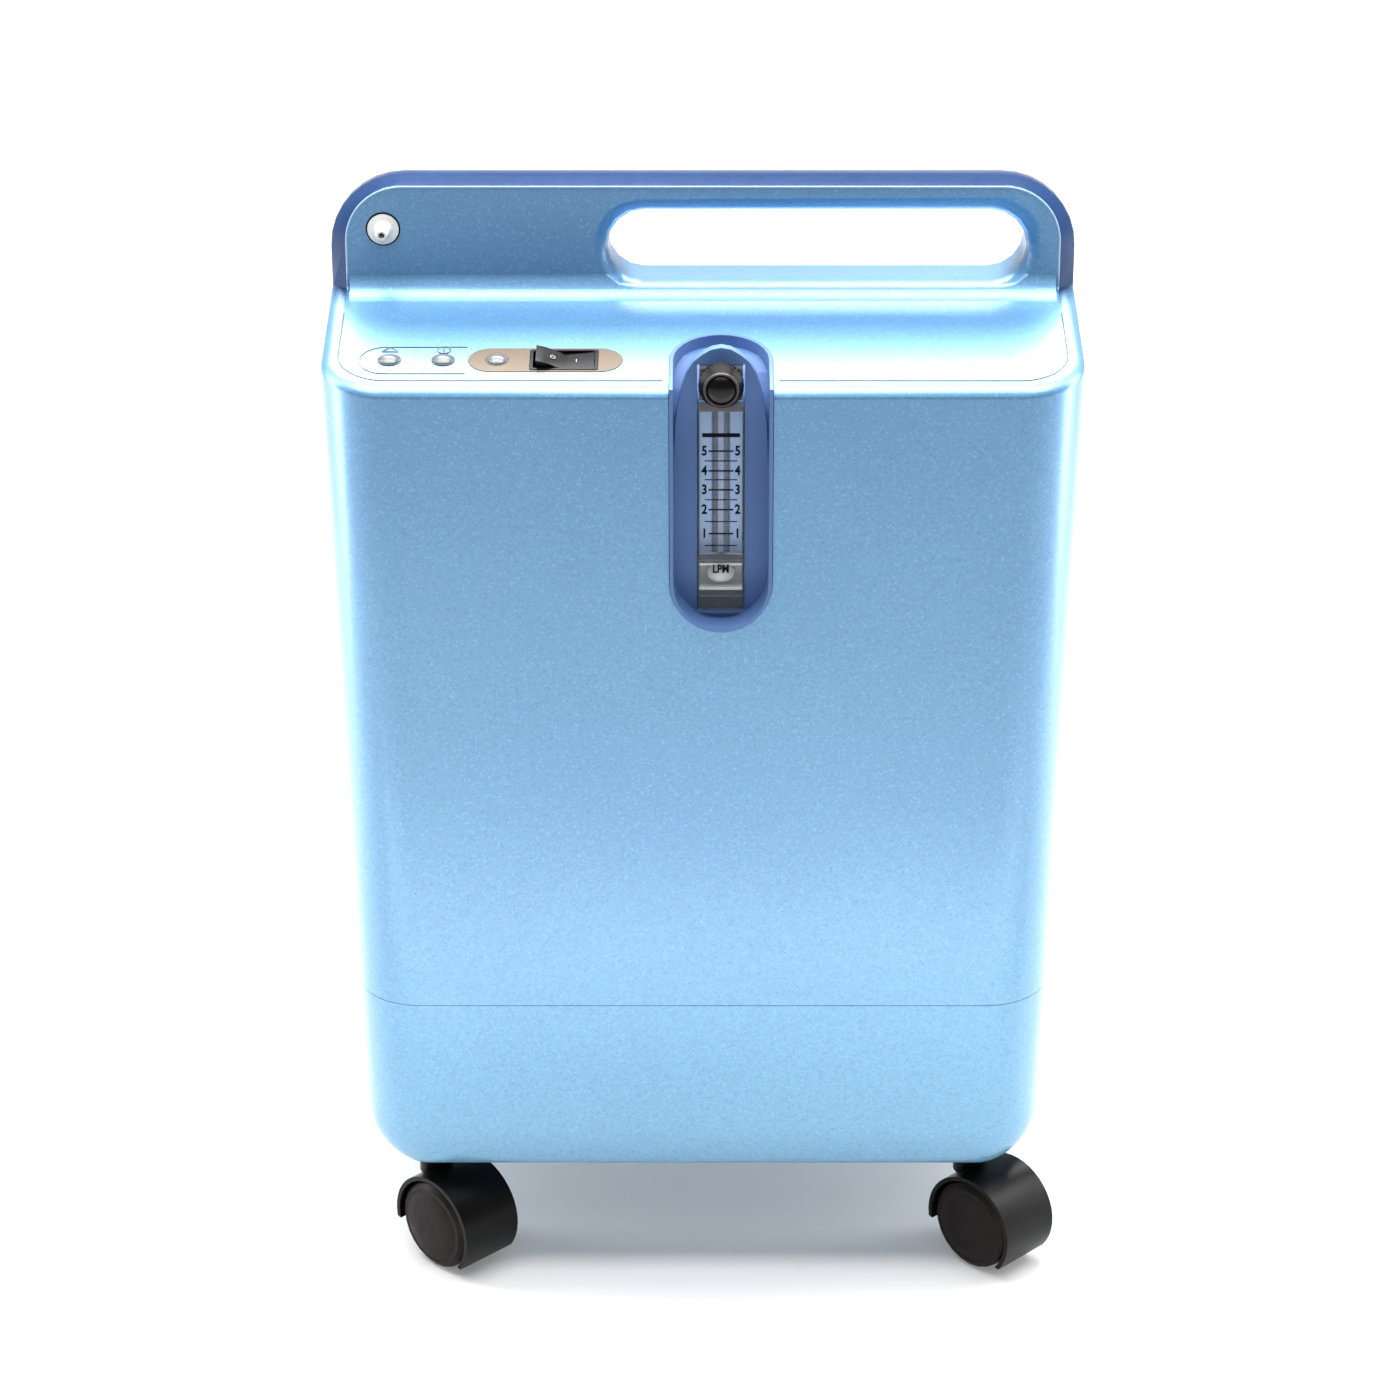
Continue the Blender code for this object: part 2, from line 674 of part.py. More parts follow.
def make_rear_fittings(rear, base):
    """The filter door with its filter, the mains inlet, the circuit breaker and the air vents."""
    low, high = (DOOR_X[0], DOOR_Z[0]), (DOOR_X[1], DOOR_Z[1])
    back = HALF_DEPTH
    frame = box(
        "filter_frame",
        (low[0] - 0.004, 0.0920, low[1] - 0.004),
        (high[0] + 0.004, back - 0.0010, high[1] + 0.004),
    )
    fuse(rear, frame)
    cut(rear, box("filter_opening", (low[0], 0.0880, low[1]), (high[0], 0.14, high[1])))
    door = box(
        "filter_door",
        (low[0] + 0.0006, back - 0.0028, low[1] + 0.0006),
        (high[0] - 0.0006, back, high[1] - 0.0006),
        "cabinet_blue",
    )
    for row in range(5):
        z = low[1] + 0.016 + row * 0.0105
        slot = outline(
            f"door_slot_{row}",
            stadium((0.105, z), 0.034, 0.0021, 4),
            0.02,
            FACING_Y,
            (0, back, 0),
        )
        cut(door, slot)
    cut(
        door,
        rod(
            "door_grip",
            0.0080,
            (0.105, back + 0.0060, high[1] - 0.0086),
            (0.105, back - 0.0016, high[1] - 0.0086),
            sides=24,
        ),
    )
    box("intake_filter", (low[0] + GAP, 0.0960, low[1] + GAP), (high[0] - GAP, 0.1150, high[1] - GAP), "foam")

    inlet_x, inlet_z = -0.1000, 0.2150
    cut(
        rear,
        box(
            "inlet_hole",
            (inlet_x - 0.0140, 0.10, inlet_z - 0.0104),
            (inlet_x + 0.0140, 0.14, inlet_z + 0.0104),
        ),
    )
    inlet = box(
        "power_inlet",
        (inlet_x - 0.0135, 0.0960, inlet_z - 0.0099),
        (inlet_x + 0.0135, back + 0.001, inlet_z + 0.0099),
        "black_plastic",
    )
    flange = outline(
        "inlet_flange",
        rounded_box((-0.0240, -0.0130), (0.0240, 0.0130), 0.004, 3),
        0.0020,
        FACING_Y,
    )
    flange.matrix_world = Matrix.Translation((inlet_x, back + GAP + 0.0010, inlet_z)) @ FACING_Y
    fuse(inlet, flange)
    socket = [
        (-0.0115, -0.0080), (0.0115, -0.0080), (0.0115, 0.0038), (0.0075, 0.0080), (-0.0075, 0.0080),
        (-0.0115, 0.0038),
    ]
    cut(inlet, outline("inlet_socket", socket, 0.0340, FACING_Y, (inlet_x, back + 0.0030, inlet_z)))
    for name, x, z in (("earth", 0, 0.0050), ("live", 0.0070, 0.0005), ("neutral", -0.0070, 0.0005)):
        pin_low = (inlet_x + x - 0.0010, back - 0.0180, inlet_z + z - 0.0020)
        fuse(inlet, box(f"pin_{name}", pin_low, (inlet_x + x + 0.0010, back - 0.0020, inlet_z + z + 0.0020)))

    breaker_x = -0.0500
    cut(rear, rod("breaker_hole", 0.0062, (breaker_x, 0.10, inlet_z), (breaker_x, 0.14, inlet_z), sides=20))
    sleeve = [
        (0.0042, 0.0030), (0.0078, 0.0030), (0.0086, 0.0018), (0.0086, GAP), (0.0059, GAP),
        (0.0059, -0.0200),
    ]
    sleeve += [(0, -0.0200), (0, -0.0120), (0.0042, -0.0120), (0.0042, 0.0030)]
    turned("breaker_body", sleeve, (breaker_x, back, inlet_z), (0, 1, 0), "black_plastic", 20)
    button = [(0, 0.0072), (0.0030, 0.0068), (0.0039, 0.0056), (0.0039, -0.0080), (0, -0.0080)]
    turned("breaker_button", button, (breaker_x, back, inlet_z), (0, 1, 0), "white_plastic", 16)

    meter_low = (-0.0140, 0.1040, inlet_z - 0.0085)
    cut(rear, box("hour_hole", (-0.0143, 0.10, inlet_z - 0.0088), (0.0143, 0.14, inlet_z + 0.0088)))
    box("hour_meter", meter_low, (0.0140, back + 0.0012, inlet_z + 0.0085), "black_plastic")

    for column in range(9):
        x = 0.0450 + column * 0.0120
        shape = stadium((0, 0), 0.0200, 0.0021, 4)
        vent = outline(f"vent_{column}", shape, 0.02, FACING_Y @ Matrix.Rotation(pi / 2, 4, "Z"))
        vent.matrix_world = Matrix.Translation((x, back, 0.2150)) @ FACING_Y @ Matrix.Rotation(pi / 2, 4, "Z")
        cut(rear, vent)
    for row in range(5):
        slot = outline(
            f"floor_vent_{row}",
            stadium((-0.05, -0.032 + row * 0.016), 0.040, 0.0022, 4),
            0.03,
            FACING_Z,
        )
        slot.location = (0, 0, UNDERSIDE_Z)
        cut(base, slot)


def make_caster(name, x, y, base):
    """A hooded twin-wheel caster. Its wheels trail to the front right of its stem."""
    trail = Vector((cos(CASTER_TURN), sin(CASTER_TURN), 0))
    axle = Vector((-trail.y, trail.x, 0))
    stem = Vector((x, y, 0))
    hub = stem + trail * TRAIL + Vector((0, 0, WHEEL_RADIUS))
    across = Matrix((trail.to_4d(), (0, 0, 1, 0), (-axle).to_4d(), (0, 0, 0, 1))).transposed()
    across[3][0] = across[3][1] = across[3][2] = 0
    across = Matrix.Translation(hub) @ across.to_3x3().to_4x4()

    outer = WHEEL_RADIUS + 0.0036
    side_profile = arc((0, 0), outer, -38, 190, 26)
    hood = outline(f"{name}_hood", side_profile, 2 * HOOD_HALF_WIDTH, FACING_Z, material="black_plastic")
    hood.matrix_world = across
    neck_low = stem + Vector((0, 0, WHEEL_RADIUS + 0.0225))
    neck_high = stem + Vector((0, 0, UNDERSIDE_Z - 0.0012))
    fuse(hood, rod(f"{name}_neck", NECK_RADIUS, neck_low, neck_high, sides=24))
    for side in (-1, 1):
        inner, outside = hub + axle * side * 0.0026, hub + axle * side * 0.0300
        cut(hood, rod(f"{name}_pocket_{side}", WHEEL_RADIUS + 0.0012, inner, outside, sides=32))
    cut(hood, rod(f"{name}_axle_hole", 0.0033, hub - axle * 0.01, hub + axle * 0.01, sides=20))
    fuse(
        hood,
        rod(
            f"{name}_stem",
            STEM_RADIUS,
            stem + Vector((0, 0, 0.0500)),
            stem + Vector((0, 0, STEM_TOP_Z)),
            sides=20,
        ),
    )

    reach = HOOD_HALF_WIDTH - 0.0040
    rod(f"{name}_axle", 0.0030, hub - axle * reach, hub + axle * reach, "steel", 16)
    profile = [
        (0, WHEEL_WIDTH + 0.0006),
        (0.0215, WHEEL_WIDTH),
        (WHEEL_RADIUS - 0.0006, WHEEL_WIDTH - 0.0022),
        (WHEEL_RADIUS, WHEEL_WIDTH - 0.0045),
        (WHEEL_RADIUS, 0.0020),
        (WHEEL_RADIUS - 0.0020, 0),
        (0.00308, 0),
        (0.00308, WHEEL_WIDTH - 0.0028),
        (0, WHEEL_WIDTH - 0.0028),
    ]
    for label, side in (("a", -1), ("b", 1)):
        turned(f"{name}_wheel_{label}", profile, hub + axle * side * 0.0031, axle * side, "tyre", 24)

    boss_low, boss_high = UNDERSIDE_Z + 0.0004, STEM_TOP_Z + 0.0030
    fuse(base, rod(f"{name}_boss", 0.0095, (x, y, boss_low), (x, y, boss_high), sides=20))
    cut(base, rod(f"{name}_socket", STEM_RADIUS + 0.0001, (x, y, 0), (x, y, STEM_TOP_Z + 0.0005), sides=20))


def make_inside(base):
    """The air and electrical parts on their tray and back plate."""
    for i, (x, y) in enumerate(((-0.155, -0.060), (0.155, -0.060), (-0.155, 0.060), (0.155, 0.060))):
        fuse(base, rod(f"tray_post_{i}", 0.0060, (x, y, UNDERSIDE_Z + 0.002), (x, y, TRAY_Z - GAP), sides=16))
    tray = box("parts_tray", (-0.165, -0.095, TRAY_Z), (0.165, BACKPLATE_Y, TRAY_Z + 0.0015), "steel")
    fuse(
        tray,
        box("back_plate", (-0.150, BACKPLATE_Y - 0.0015, TRAY_Z + 0.0005), (0.150, BACKPLATE_Y, 0.4500)),
    )
    cut(
        tray,
        rod("fan_opening", 0.0500, (COMPRESSOR_X, -0.010, 0.19), (COMPRESSOR_X, -0.010, 0.22), sides=24),
    )
    for x in SIEVE_X:
        cut(tray, rod(f"sieve_port_{x}", 0.0050, (x, SIEVE_Y, 0.19), (x, SIEVE_Y, 0.22), sides=16))

    feet_z = UNDERSIDE_Z + WALL + GAP
    for label, dx, dy in (
        ("a", -0.055, -0.040), ("b", 0.055, -0.040), ("c", -0.055, 0.040), ("d", 0.055, 0.040),
    ):
        place = (COMPRESSOR_X + dx, dy, feet_z)
        bush = [
            (0, 0.0150), (0.0080, 0.0150), (0.0080, 0.0110), (0.0062, 0.0075), (0.0080, 0.0040),
            (0.0080, 0), (0, 0),
        ]
        turned(f"isolator_{label}", bush, place, (0, 0, 1), "rubber", 12)
    low_z = feet_z + 0.0150 + GAP
    frame = box(
        "compressor",
        (COMPRESSOR_X - 0.065, -0.050, low_z),
        (COMPRESSOR_X + 0.065, 0.050, low_z + 0.006),
        "cast_alloy",
    )
    fuse(
        frame,
        rod(
            "crankcase",
            0.042,
            (COMPRESSOR_X - 0.045, 0, low_z + 0.046),
            (COMPRESSOR_X + 0.045, 0, low_z + 0.046),
            sides=20,
        ),
    )
    for side in (-1, 1):
        foot = COMPRESSOR_X + side * 0.030
        fuse(
            frame,
            rod(
                f"cylinder_{side}",
                0.0200,
                (foot, 0, low_z + 0.070),
                (foot, 0, low_z + 0.0960),
                sides=24,
            ),
        )
        head_low = (foot - 0.0225, -0.0240, low_z + 0.0960 + GAP)
        head = box(
            f"cylinder_head_{'a' if side < 0 else 'b'}",
            head_low,
            (foot + 0.0225, 0.0240, low_z + 0.1120),
            "cast_alloy",
        )
        for fin in range(5):
            y = -0.0184 + fin * 0.0092
            cut(
                head,
                box(
                    f"fin_gap_{side}_{fin}",
                    (foot - 0.03, y - 0.0022, low_z + 0.1030),
                    (foot + 0.03, y + 0.0022, 0.24),
                ),
            )

    fan_z = TRAY_Z + 0.0015 + GAP
    hub_xy = (COMPRESSOR_X, -0.010)
    ring = [
        (0.0500, 0.030), (0.0535, 0.030), (0.0535, 0.002), (0.0600, 0.002), (0.0600, 0), (0.0500, 0),
        (0.0500, 0.030),
    ]
    shroud = turned("fan_shroud", ring, (*hub_xy, fan_z), (0, 0, 1), "black_plastic", 30)
    for spoke in range(3):
        strut = box(f"strut_{spoke}", (-0.0180, -0.0015, -0.0012), (0.0180, 0.0015, 0.0012))
        turn = Matrix.Rotation(radians(35 + 120 * spoke), 4, "Z") @ Matrix.Translation((0.0335, 0, 0))
        strut.matrix_world = Matrix.Translation((*hub_xy, fan_z + 0.0275)) @ turn
        fuse(shroud, strut)
    fuse(shroud, rod("fan_motor", 0.0170, (*hub_xy, fan_z + 0.0200), (*hub_xy, fan_z + 0.0300), sides=20))
    rotor = rod("fan_rotor", 0.0180, (*hub_xy, fan_z + 0.0060), (*hub_xy, fan_z + 0.0195), "grey_plastic", 28)
    for blade in range(7):
        vane = box(f"vane_{blade}", (0.0150, -0.0008, -0.0075), (0.0475, 0.0008, 0.0075))
        turn = Matrix.Rotation(2 * pi * blade / 7, 4, "Z") @ Matrix.Translation((0.0312, 0, 0))
        pitch = Matrix.Rotation(radians(52), 4, "X")
        vane.matrix_world = Matrix.Translation((*hub_xy, fan_z + 0.0120)) @ turn @ pitch
        fuse(rotor, vane)

    stand_z = TRAY_Z + 0.0015 + GAP
    for label, x in zip("ab", SIEVE_X):
        bed = [(0, 0.228), (0.020, 0.228), (0.0275, 0.222), (0.0290, 0.222), (0.0290, 0.206), (0.0270, 0.206)]
        bed += [(0.0270, 0.018), (0.0290, 0.018), (0.0290, 0.002), (0.0275, 0), (0, 0)]
        turned(f"sieve_bed_{label}", bed, (x, SIEVE_Y, stand_z), (0, 0, 1), "cast_alloy", 24)
    tank = [
        (0, 0.170), (0.0040, 0.170), (0.0040, 0.158), (0.0160, 0.156), (0.0270, 0.146), (0.0270, 0.010),
        (0.0200, 0), (0, 0),
    ]
    turned("product_tank", tank, (0.1150, -0.0400, stand_z), (0, 0, 1), "white_plastic", 22)
    manifold = box(
        "valve_manifold",
        (0.0500, 0.0250, TRAY_Z - 0.0250),
        (0.1450, 0.0700, TRAY_Z - GAP),
        "cast_alloy",
    )
    soften(manifold, 0.002)
    for label, x in (("a", 0.0750), ("b", 0.1200)):
        coil = [
            (0, 0.0330), (0.0060, 0.0330), (0.0060, 0.0270), (0.0110, 0.0270), (0.0110, 0.0040),
            (0.0070, 0.0040), (0.0070, 0), (0, 0),
        ]
        turned(f"solenoid_{label}", coil, (x, 0.0250 - GAP, TRAY_Z - 0.0130), (0, -1, 0), "grey_plastic", 16)
    board = box("control_board", (-0.1400, 0.0760, 0.3300), (-0.0100, 0.0776, 0.4350), "board_green")
    chips = [
        ((-0.130, 0.346), (-0.100, 0.376)),
        ((-0.090, 0.345), (-0.050, 0.357)),
        ((-0.085, 0.380), (-0.060, 0.420)),
        ((-0.045, 0.395), (-0.020, 0.425)),
    ]
    for i, (low, high) in enumerate(chips):
        fuse(board, box(f"chip_{i}", (low[0], 0.0640 + 0.002 * i, low[1]), (high[0], 0.0765, high[1])))
    for i, (x, z) in enumerate(((-0.136, 0.334), (-0.014, 0.334), (-0.136, 0.431), (-0.014, 0.431))):
        fuse(
            board,
            rod(f"standoff_{i}", 0.0025, (x, 0.0770, z), (x, BACKPLATE_Y - 0.0015 - GAP, z), sides=10),
        )
    can = [
        (0, 0.078), (0.0060, 0.078), (0.0060, 0.072), (0.0190, 0.070), (0.0200, 0.068), (0.0200, 0),
        (0, 0),
    ]
    turned("run_capacitor", can, (-0.1300, 0.0500, stand_z), (0, 0, 1), "white_plastic", 18)
    silencer = [
        (0, 0.118), (0.0080, 0.118), (0.0080, 0.104), (0.0300, 0.100), (0.0300, 0.004), (0.0270, 0),
        (0, 0),
    ]
    turned("intake_silencer", silencer, (-0.1400, -0.0620, stand_z + 0.035), (0, 0, 1), "grey_plastic", 20)
    stand = rod(
        "silencer_stand",
        0.0120,
        (-0.1400, -0.0620, stand_z),
        (-0.1400, -0.0620, stand_z + 0.040),
        sides=20,
    )
    fuse(bpy.data.objects["intake_silencer"], stand)
    exchanger = box("heat_exchanger", (-0.1100, -0.0450, 0.2700), (0.0100, 0.0250, 0.2860), "cast_alloy")
    for fin in range(11):
        x = -0.0980 + fin * 0.0096
        cut(exchanger, box(f"exchanger_gap_{fin}", (x - 0.0020, -0.0390, 0.26), (x + 0.0020, 0.0190, 0.30)))
    for i, (x, y) in enumerate(((-0.106, -0.041), (0.006, -0.041), (-0.106, 0.021), (0.006, 0.021))):
        fuse(exchanger, rod(f"exchanger_leg_{i}", 0.0025, (x, y, stand_z), (x, y, 0.2710), sides=10))

    port_y = METER_BACK_Y + 0.009 + GAP
    tank_top = stand_z + 0.170 + GAP
    hose(
        "product_hose",
        [
            (0.1150, -0.0400, tank_top),
            (0.1150, -0.0400, tank_top + 0.007),
            (0.1150, -0.0400, tank_top + 0.014),
            (0.1040, -0.0420, tank_top + 0.030),
            (0.0700, -0.0480, tank_top + 0.036),
            (0.0300, -0.0520, tank_top + 0.028),
            (METER_X, port_y + 0.020, 0.3965),
            (METER_X, port_y + 0.010, 0.3965),
            (METER_X, port_y, 0.3965),
        ],
        0.0040,
        "clear",
    )
    hose(
        "outlet_hose",
        [
            (METER_X, port_y, 0.4880),
            (METER_X, port_y + 0.008, 0.4880),
            (METER_X, port_y + 0.016, 0.4880),
            (-0.0300, -0.0520, 0.4880),
            (-0.0900, -0.0420, 0.4870),
            (-0.1400, -0.0240, 0.4900),
            (-0.1600, -0.0100, 0.5080),
            (-0.1623, 0.0010, 0.5300),
            (-0.1623, 0.0025, 0.5480),
            (-0.1623, -0.0020, 0.5575),
            (-0.1623, HOOP_FRONT_Y + 0.0140, 0.5595),
            (-0.1623, HOOP_FRONT_Y + 0.0100 + GAP, 0.5595),
        ],
        0.0040,
        "clear",
    )


def main():
    front, rear, base = make_cabinet()
    make_flow_meter()
    make_outlet(front)
    make_controls(front)
    make_side_stud(front)
    make_rear_fittings(rear, base)
    for name, x_side, y_side in (
        ("caster_front_left", -1, -1),
        ("caster_front_right", 1, -1),
        ("caster_rear_left", -1, 1),
        ("caster_rear_right", 1, 1),
    ):
        make_caster(name, x_side * CASTER_XY[0], y_side * CASTER_XY[1], base)
    make_inside(base)
    for obj in PARTS.objects:
        if obj.type == "MESH":
            obj.data.shade_smooth()
            obj.data.set_sharp_from_angle(angle=radians(35))


main()
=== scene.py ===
"""The oxygen concentrator's looks: materials, fine trim, studio and camera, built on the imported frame."""

import json
import math

import bmesh
import bpy
import numpy as np
from mathutils import Matrix, Vector
from mathutils.bvhtree import BVHTree

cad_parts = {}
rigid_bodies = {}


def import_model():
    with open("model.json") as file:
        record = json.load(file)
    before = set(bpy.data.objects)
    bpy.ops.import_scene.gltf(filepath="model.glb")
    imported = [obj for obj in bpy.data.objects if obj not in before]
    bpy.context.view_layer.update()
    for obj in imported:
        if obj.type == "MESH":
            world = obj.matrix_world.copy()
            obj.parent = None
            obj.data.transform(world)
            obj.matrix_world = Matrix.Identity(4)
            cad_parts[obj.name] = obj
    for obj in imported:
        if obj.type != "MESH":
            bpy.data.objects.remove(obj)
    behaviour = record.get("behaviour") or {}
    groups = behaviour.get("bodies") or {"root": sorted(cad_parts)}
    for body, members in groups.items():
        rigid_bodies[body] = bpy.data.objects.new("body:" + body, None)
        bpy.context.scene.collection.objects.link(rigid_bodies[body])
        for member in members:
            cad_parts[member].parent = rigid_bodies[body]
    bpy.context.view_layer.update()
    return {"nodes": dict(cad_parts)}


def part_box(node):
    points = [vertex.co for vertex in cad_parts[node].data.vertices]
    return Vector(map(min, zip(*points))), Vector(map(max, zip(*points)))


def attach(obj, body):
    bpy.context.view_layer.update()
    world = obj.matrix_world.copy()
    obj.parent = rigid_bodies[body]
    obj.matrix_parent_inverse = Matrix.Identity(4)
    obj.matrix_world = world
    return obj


for stale in list(bpy.data.objects):
    bpy.data.objects.remove(stale, do_unlink=True)

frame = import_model()
nodes = frame["nodes"]

# ---------------------------------------------------------------- camera
camera = bpy.data.objects.new("camera", bpy.data.cameras.new("camera"))
bpy.context.scene.collection.objects.link(camera)
camera.location = (0.0, -2.012, 1.183)
camera.rotation_euler = (math.radians(66.0), 0.0, 0.0)
camera.data.lens = 104.9
camera.data.sensor_width = 36.0
camera.data.shift_x = -0.0021
bpy.context.scene.camera = camera


# ---------------------------------------------------------------- node-tree helpers
class Paint:
    """A procedural material under construction: a Principled shader and short ways to feed it."""

    def __init__(self, name, colour, roughness, **settings):
        self.material = bpy.data.materials.new(name)
        self.material.use_nodes = True
        self.tree = self.material.node_tree
        self.shader = self.tree.nodes["Principled BSDF"]
        self.shader.inputs["Base Color"].default_value = (*colour, 1.0)
        self.shader.inputs["Roughness"].default_value = roughness
        for key, value in settings.items():
            self.shader.inputs[key.replace("_", " ")].default_value = value
        self.place = self.add("ShaderNodeTexCoord").outputs["Object"]

    def add(self, kind, **values):
        node = self.tree.nodes.new(kind)
        for key, value in values.items():
            setattr(node, key, value)
        return node

    def join(self, source, target):
        self.tree.links.new(source, target)

    def noise(self, scale, detail=2.0, roughness=0.5, stretch=(1, 1, 1)):
        mapping = self.add("ShaderNodeMapping")
        mapping.inputs["Scale"].default_value = stretch
        self.join(self.place, mapping.inputs["Vector"])
        node = self.add("ShaderNodeTexNoise")
        node.inputs["Scale"].default_value = scale
        node.inputs["Detail"].default_value = detail
        node.inputs["Roughness"].default_value = roughness
        self.join(mapping.outputs["Vector"], node.inputs["Vector"])
        return node.outputs["Fac"]

    def cells(self, scale, output="Color"):
        node = self.add("ShaderNodeTexVoronoi")
        node.inputs["Scale"].default_value = scale
        self.join(self.place, node.inputs["Vector"])
        return node.outputs[output]

    def spread(self, source, low, high, from_low=0.3, from_high=0.7):
        node = self.add("ShaderNodeMapRange")
        node.inputs["From Min"].default_value = from_low
        node.inputs["From Max"].default_value = from_high
        node.inputs["To Min"].default_value = low
        node.inputs["To Max"].default_value = high
        self.join(source, node.inputs["Value"])
        return node.outputs["Result"]

    def mix(self, factor, first, second):
        node = self.add("ShaderNodeMix", data_type="RGBA")
        self.join(factor, node.inputs["Factor"])
        for socket, value in (("A", first), ("B", second)):
            target = [i for i in node.inputs if i.name == socket and i.type == "RGBA"][0]
            if isinstance(value, tuple):
                target.default_value = (*value, 1.0)
            else:
                self.join(value, target)
        return [o for o in node.outputs if o.type == "RGBA"][0]

    def math(self, operation, first, second=None):
        node = self.add("ShaderNodeMath", operation=operation)
        for socket, value in zip(node.inputs, (first, second)):
            if value is None:
                continue
            if isinstance(value, (int, float)):
                socket.default_value = value
            else:
                self.join(value, socket)
        return node.outputs[0]

    def axes(self):
        node = self.add("ShaderNodeSeparateXYZ")
        self.join(self.place, node.inputs[0])
        return node.outputs

    def tint(self, source):
        self.join(source, self.shader.inputs["Base Color"])
        return self

    def rough(self, source):
        self.join(source, self.shader.inputs["Roughness"])
        return self

    def bump(self, source, distance, strength=0.4):
        node = self.add("ShaderNodeBump")
        node.inputs["Distance"].default_value = distance
        node.inputs["Strength"].default_value = strength
        self.join(source, node.inputs["Height"])
        self.join(node.outputs["Normal"], self.shader.inputs["Normal"])
        return self


def scaled(colour, factor):
    return tuple(min(1.0, c * factor) for c in colour)


def scaled_each(colour, factors):
    return tuple(min(1.0, c * factor) for c, factor in zip(colour, factors))


def moulded(name, colour, roughness, grain=2600.0, depth=0.00006, **settings):
    """Moulded or coated surface: slight colour drift, uneven gloss and a fine spark-eroded grain."""
    paint = Paint(name, colour, roughness, **settings)
    drift = paint.spread(paint.noise(9.0, 3.0), 0.0, 1.0)
    paint.tint(paint.mix(drift, scaled(colour, 0.93), scaled(colour, 1.06)))
    paint.rough(paint.spread(paint.noise(60.0, 3.0), roughness - 0.04, roughness + 0.05))
    paint.bump(paint.noise(grain, 2.0), depth, 0.35)
    return paint.material


def metallic_paint(name, deep, pale, roughness, band=None):
    """Pearl paint: fine bright and dark flakes in light blue, drawn paler towards the bottom as painted
    light from the floor's bounce. band is the hoop's smoother outer border, drawn dark: partly a deeper
    blue, partly painted shade.
    """
    paint = Paint(name, deep, roughness, Metallic=PEARL_METAL, Coat_Weight=1.0, Coat_Roughness=0.28,
                  Specular_IOR_Level=0.12)
    x, y, z = paint.axes()
    drift = paint.spread(paint.noise(5.0, 2.0), 0.0, 1.0)
    base = paint.mix(drift, deep, pale)
    # painted light: the lower front is drawn paler, standing in for the floor's bounce
    low = paint.spread(z, BOUNCE_PAINT_SHARE, 0.0, *BOUNCE_PAINT_HEIGHTS)
    base = paint.mix(low, base, scaled_each(pale, BOUNCE_PAINT_FACTORS))
    flake = paint.add("ShaderNodeSeparateColor")
    paint.join(paint.cells(FLAKE_SCALE), flake.inputs["Color"])
    clump = paint.spread(paint.noise(420.0, 2.0, 0.6), 0.0, 0.34, 0.45, 0.75)
    bright = paint.spread(flake.outputs["Red"], 0.0, 0.42, 0.84, 1.0)
    dark = paint.spread(flake.outputs["Green"], 0.0, 0.30, 0.76, 1.0)
    speckled = paint.mix(clump, base, scaled(deep, 0.84))
    speckled = paint.mix(bright, speckled, scaled(pale, 1.55))
    speckled = paint.mix(dark, speckled, scaled(deep, 0.60))
    gloss = paint.spread(flake.outputs["Blue"], roughness - 0.05, roughness + 0.07, 0.0, 1.0)
    # The band is drawn dark: partly a deeper blue border, partly painted shade on the hoop's outer flange.
    if band:
        reach = HOOP_RADIUS - BAND_SIDE
        across = paint.math("SUBTRACT", paint.math("ABSOLUTE", x), CABINET_HALF_WIDTH - BAND_SIDE - reach)
        above = paint.math("SUBTRACT", z, cad_top - BAND_TOP - reach)
        round_x = paint.math("MAXIMUM", across, 0.0)
        round_z = paint.math("MAXIMUM", above, 0.0)
        spread = paint.math("ADD", paint.math("POWER", round_x, 2.0), paint.math("POWER", round_z, 2.0))
        distance = paint.math("SUBTRACT", paint.math("SQRT", spread), reach)
        outside = paint.spread(distance, 0.0, 1.0, -BAND_BLUR, BAND_BLUR)
        upper = paint.spread(z, 0.0, 1.0, *BAND_FOOT_Z)
        mask = paint.math("MULTIPLY", outside, upper)
        cloud = paint.spread(paint.noise(26.0, 2.0), 0.0, 1.0)
        speckled = paint.mix(mask, speckled, paint.mix(cloud, band, scaled(band, 1.3)))
        gloss = paint.math("SUBTRACT", gloss, paint.math("MULTIPLY", mask, BAND_ROUGHNESS_DROP))
        rest = paint.math("SUBTRACT", 1.0, mask)
        paint.join(paint.math("MULTIPLY", rest, PEARL_METAL), paint.shader.inputs["Metallic"])
        paint.join(rest, paint.shader.inputs["Coat Weight"])
    paint.tint(speckled)
    paint.rough(gloss)
    paint.bump(paint.noise(900.0, 3.0), 0.00008, 0.22)
    return paint.material


def rubbed(name, colour, roughness, grain=700.0, **settings):
    """Metal with a fine directional grain."""
    paint = Paint(name, colour, roughness, Metallic=1.0, **settings)
    streak = paint.noise(grain, 3.0, 0.6, (1.0, 1.0, 0.04))
    paint.tint(paint.mix(paint.spread(streak, 0.0, 1.0), scaled(colour, 0.86), scaled(colour, 1.08)))
    paint.rough(paint.spread(streak, roughness - 0.06, roughness + 0.08))
    paint.bump(streak, 0.00004, 0.25)
    return paint.material


def cast(name, colour):
    """Sand-cast alloy: matt, pitted, a little stained."""
    paint = Paint(name, colour, 0.55, Metallic=0.85)
    stain = paint.spread(paint.noise(24.0, 4.0), 0.0, 1.0)
    paint.tint(paint.mix(stain, scaled(colour, 0.78), scaled(colour, 1.05)))
    paint.rough(paint.spread(paint.noise(160.0, 3.0), 0.45, 0.68))
    paint.bump(paint.noise(900.0, 4.0), 0.0003, 0.5)
    return paint.material


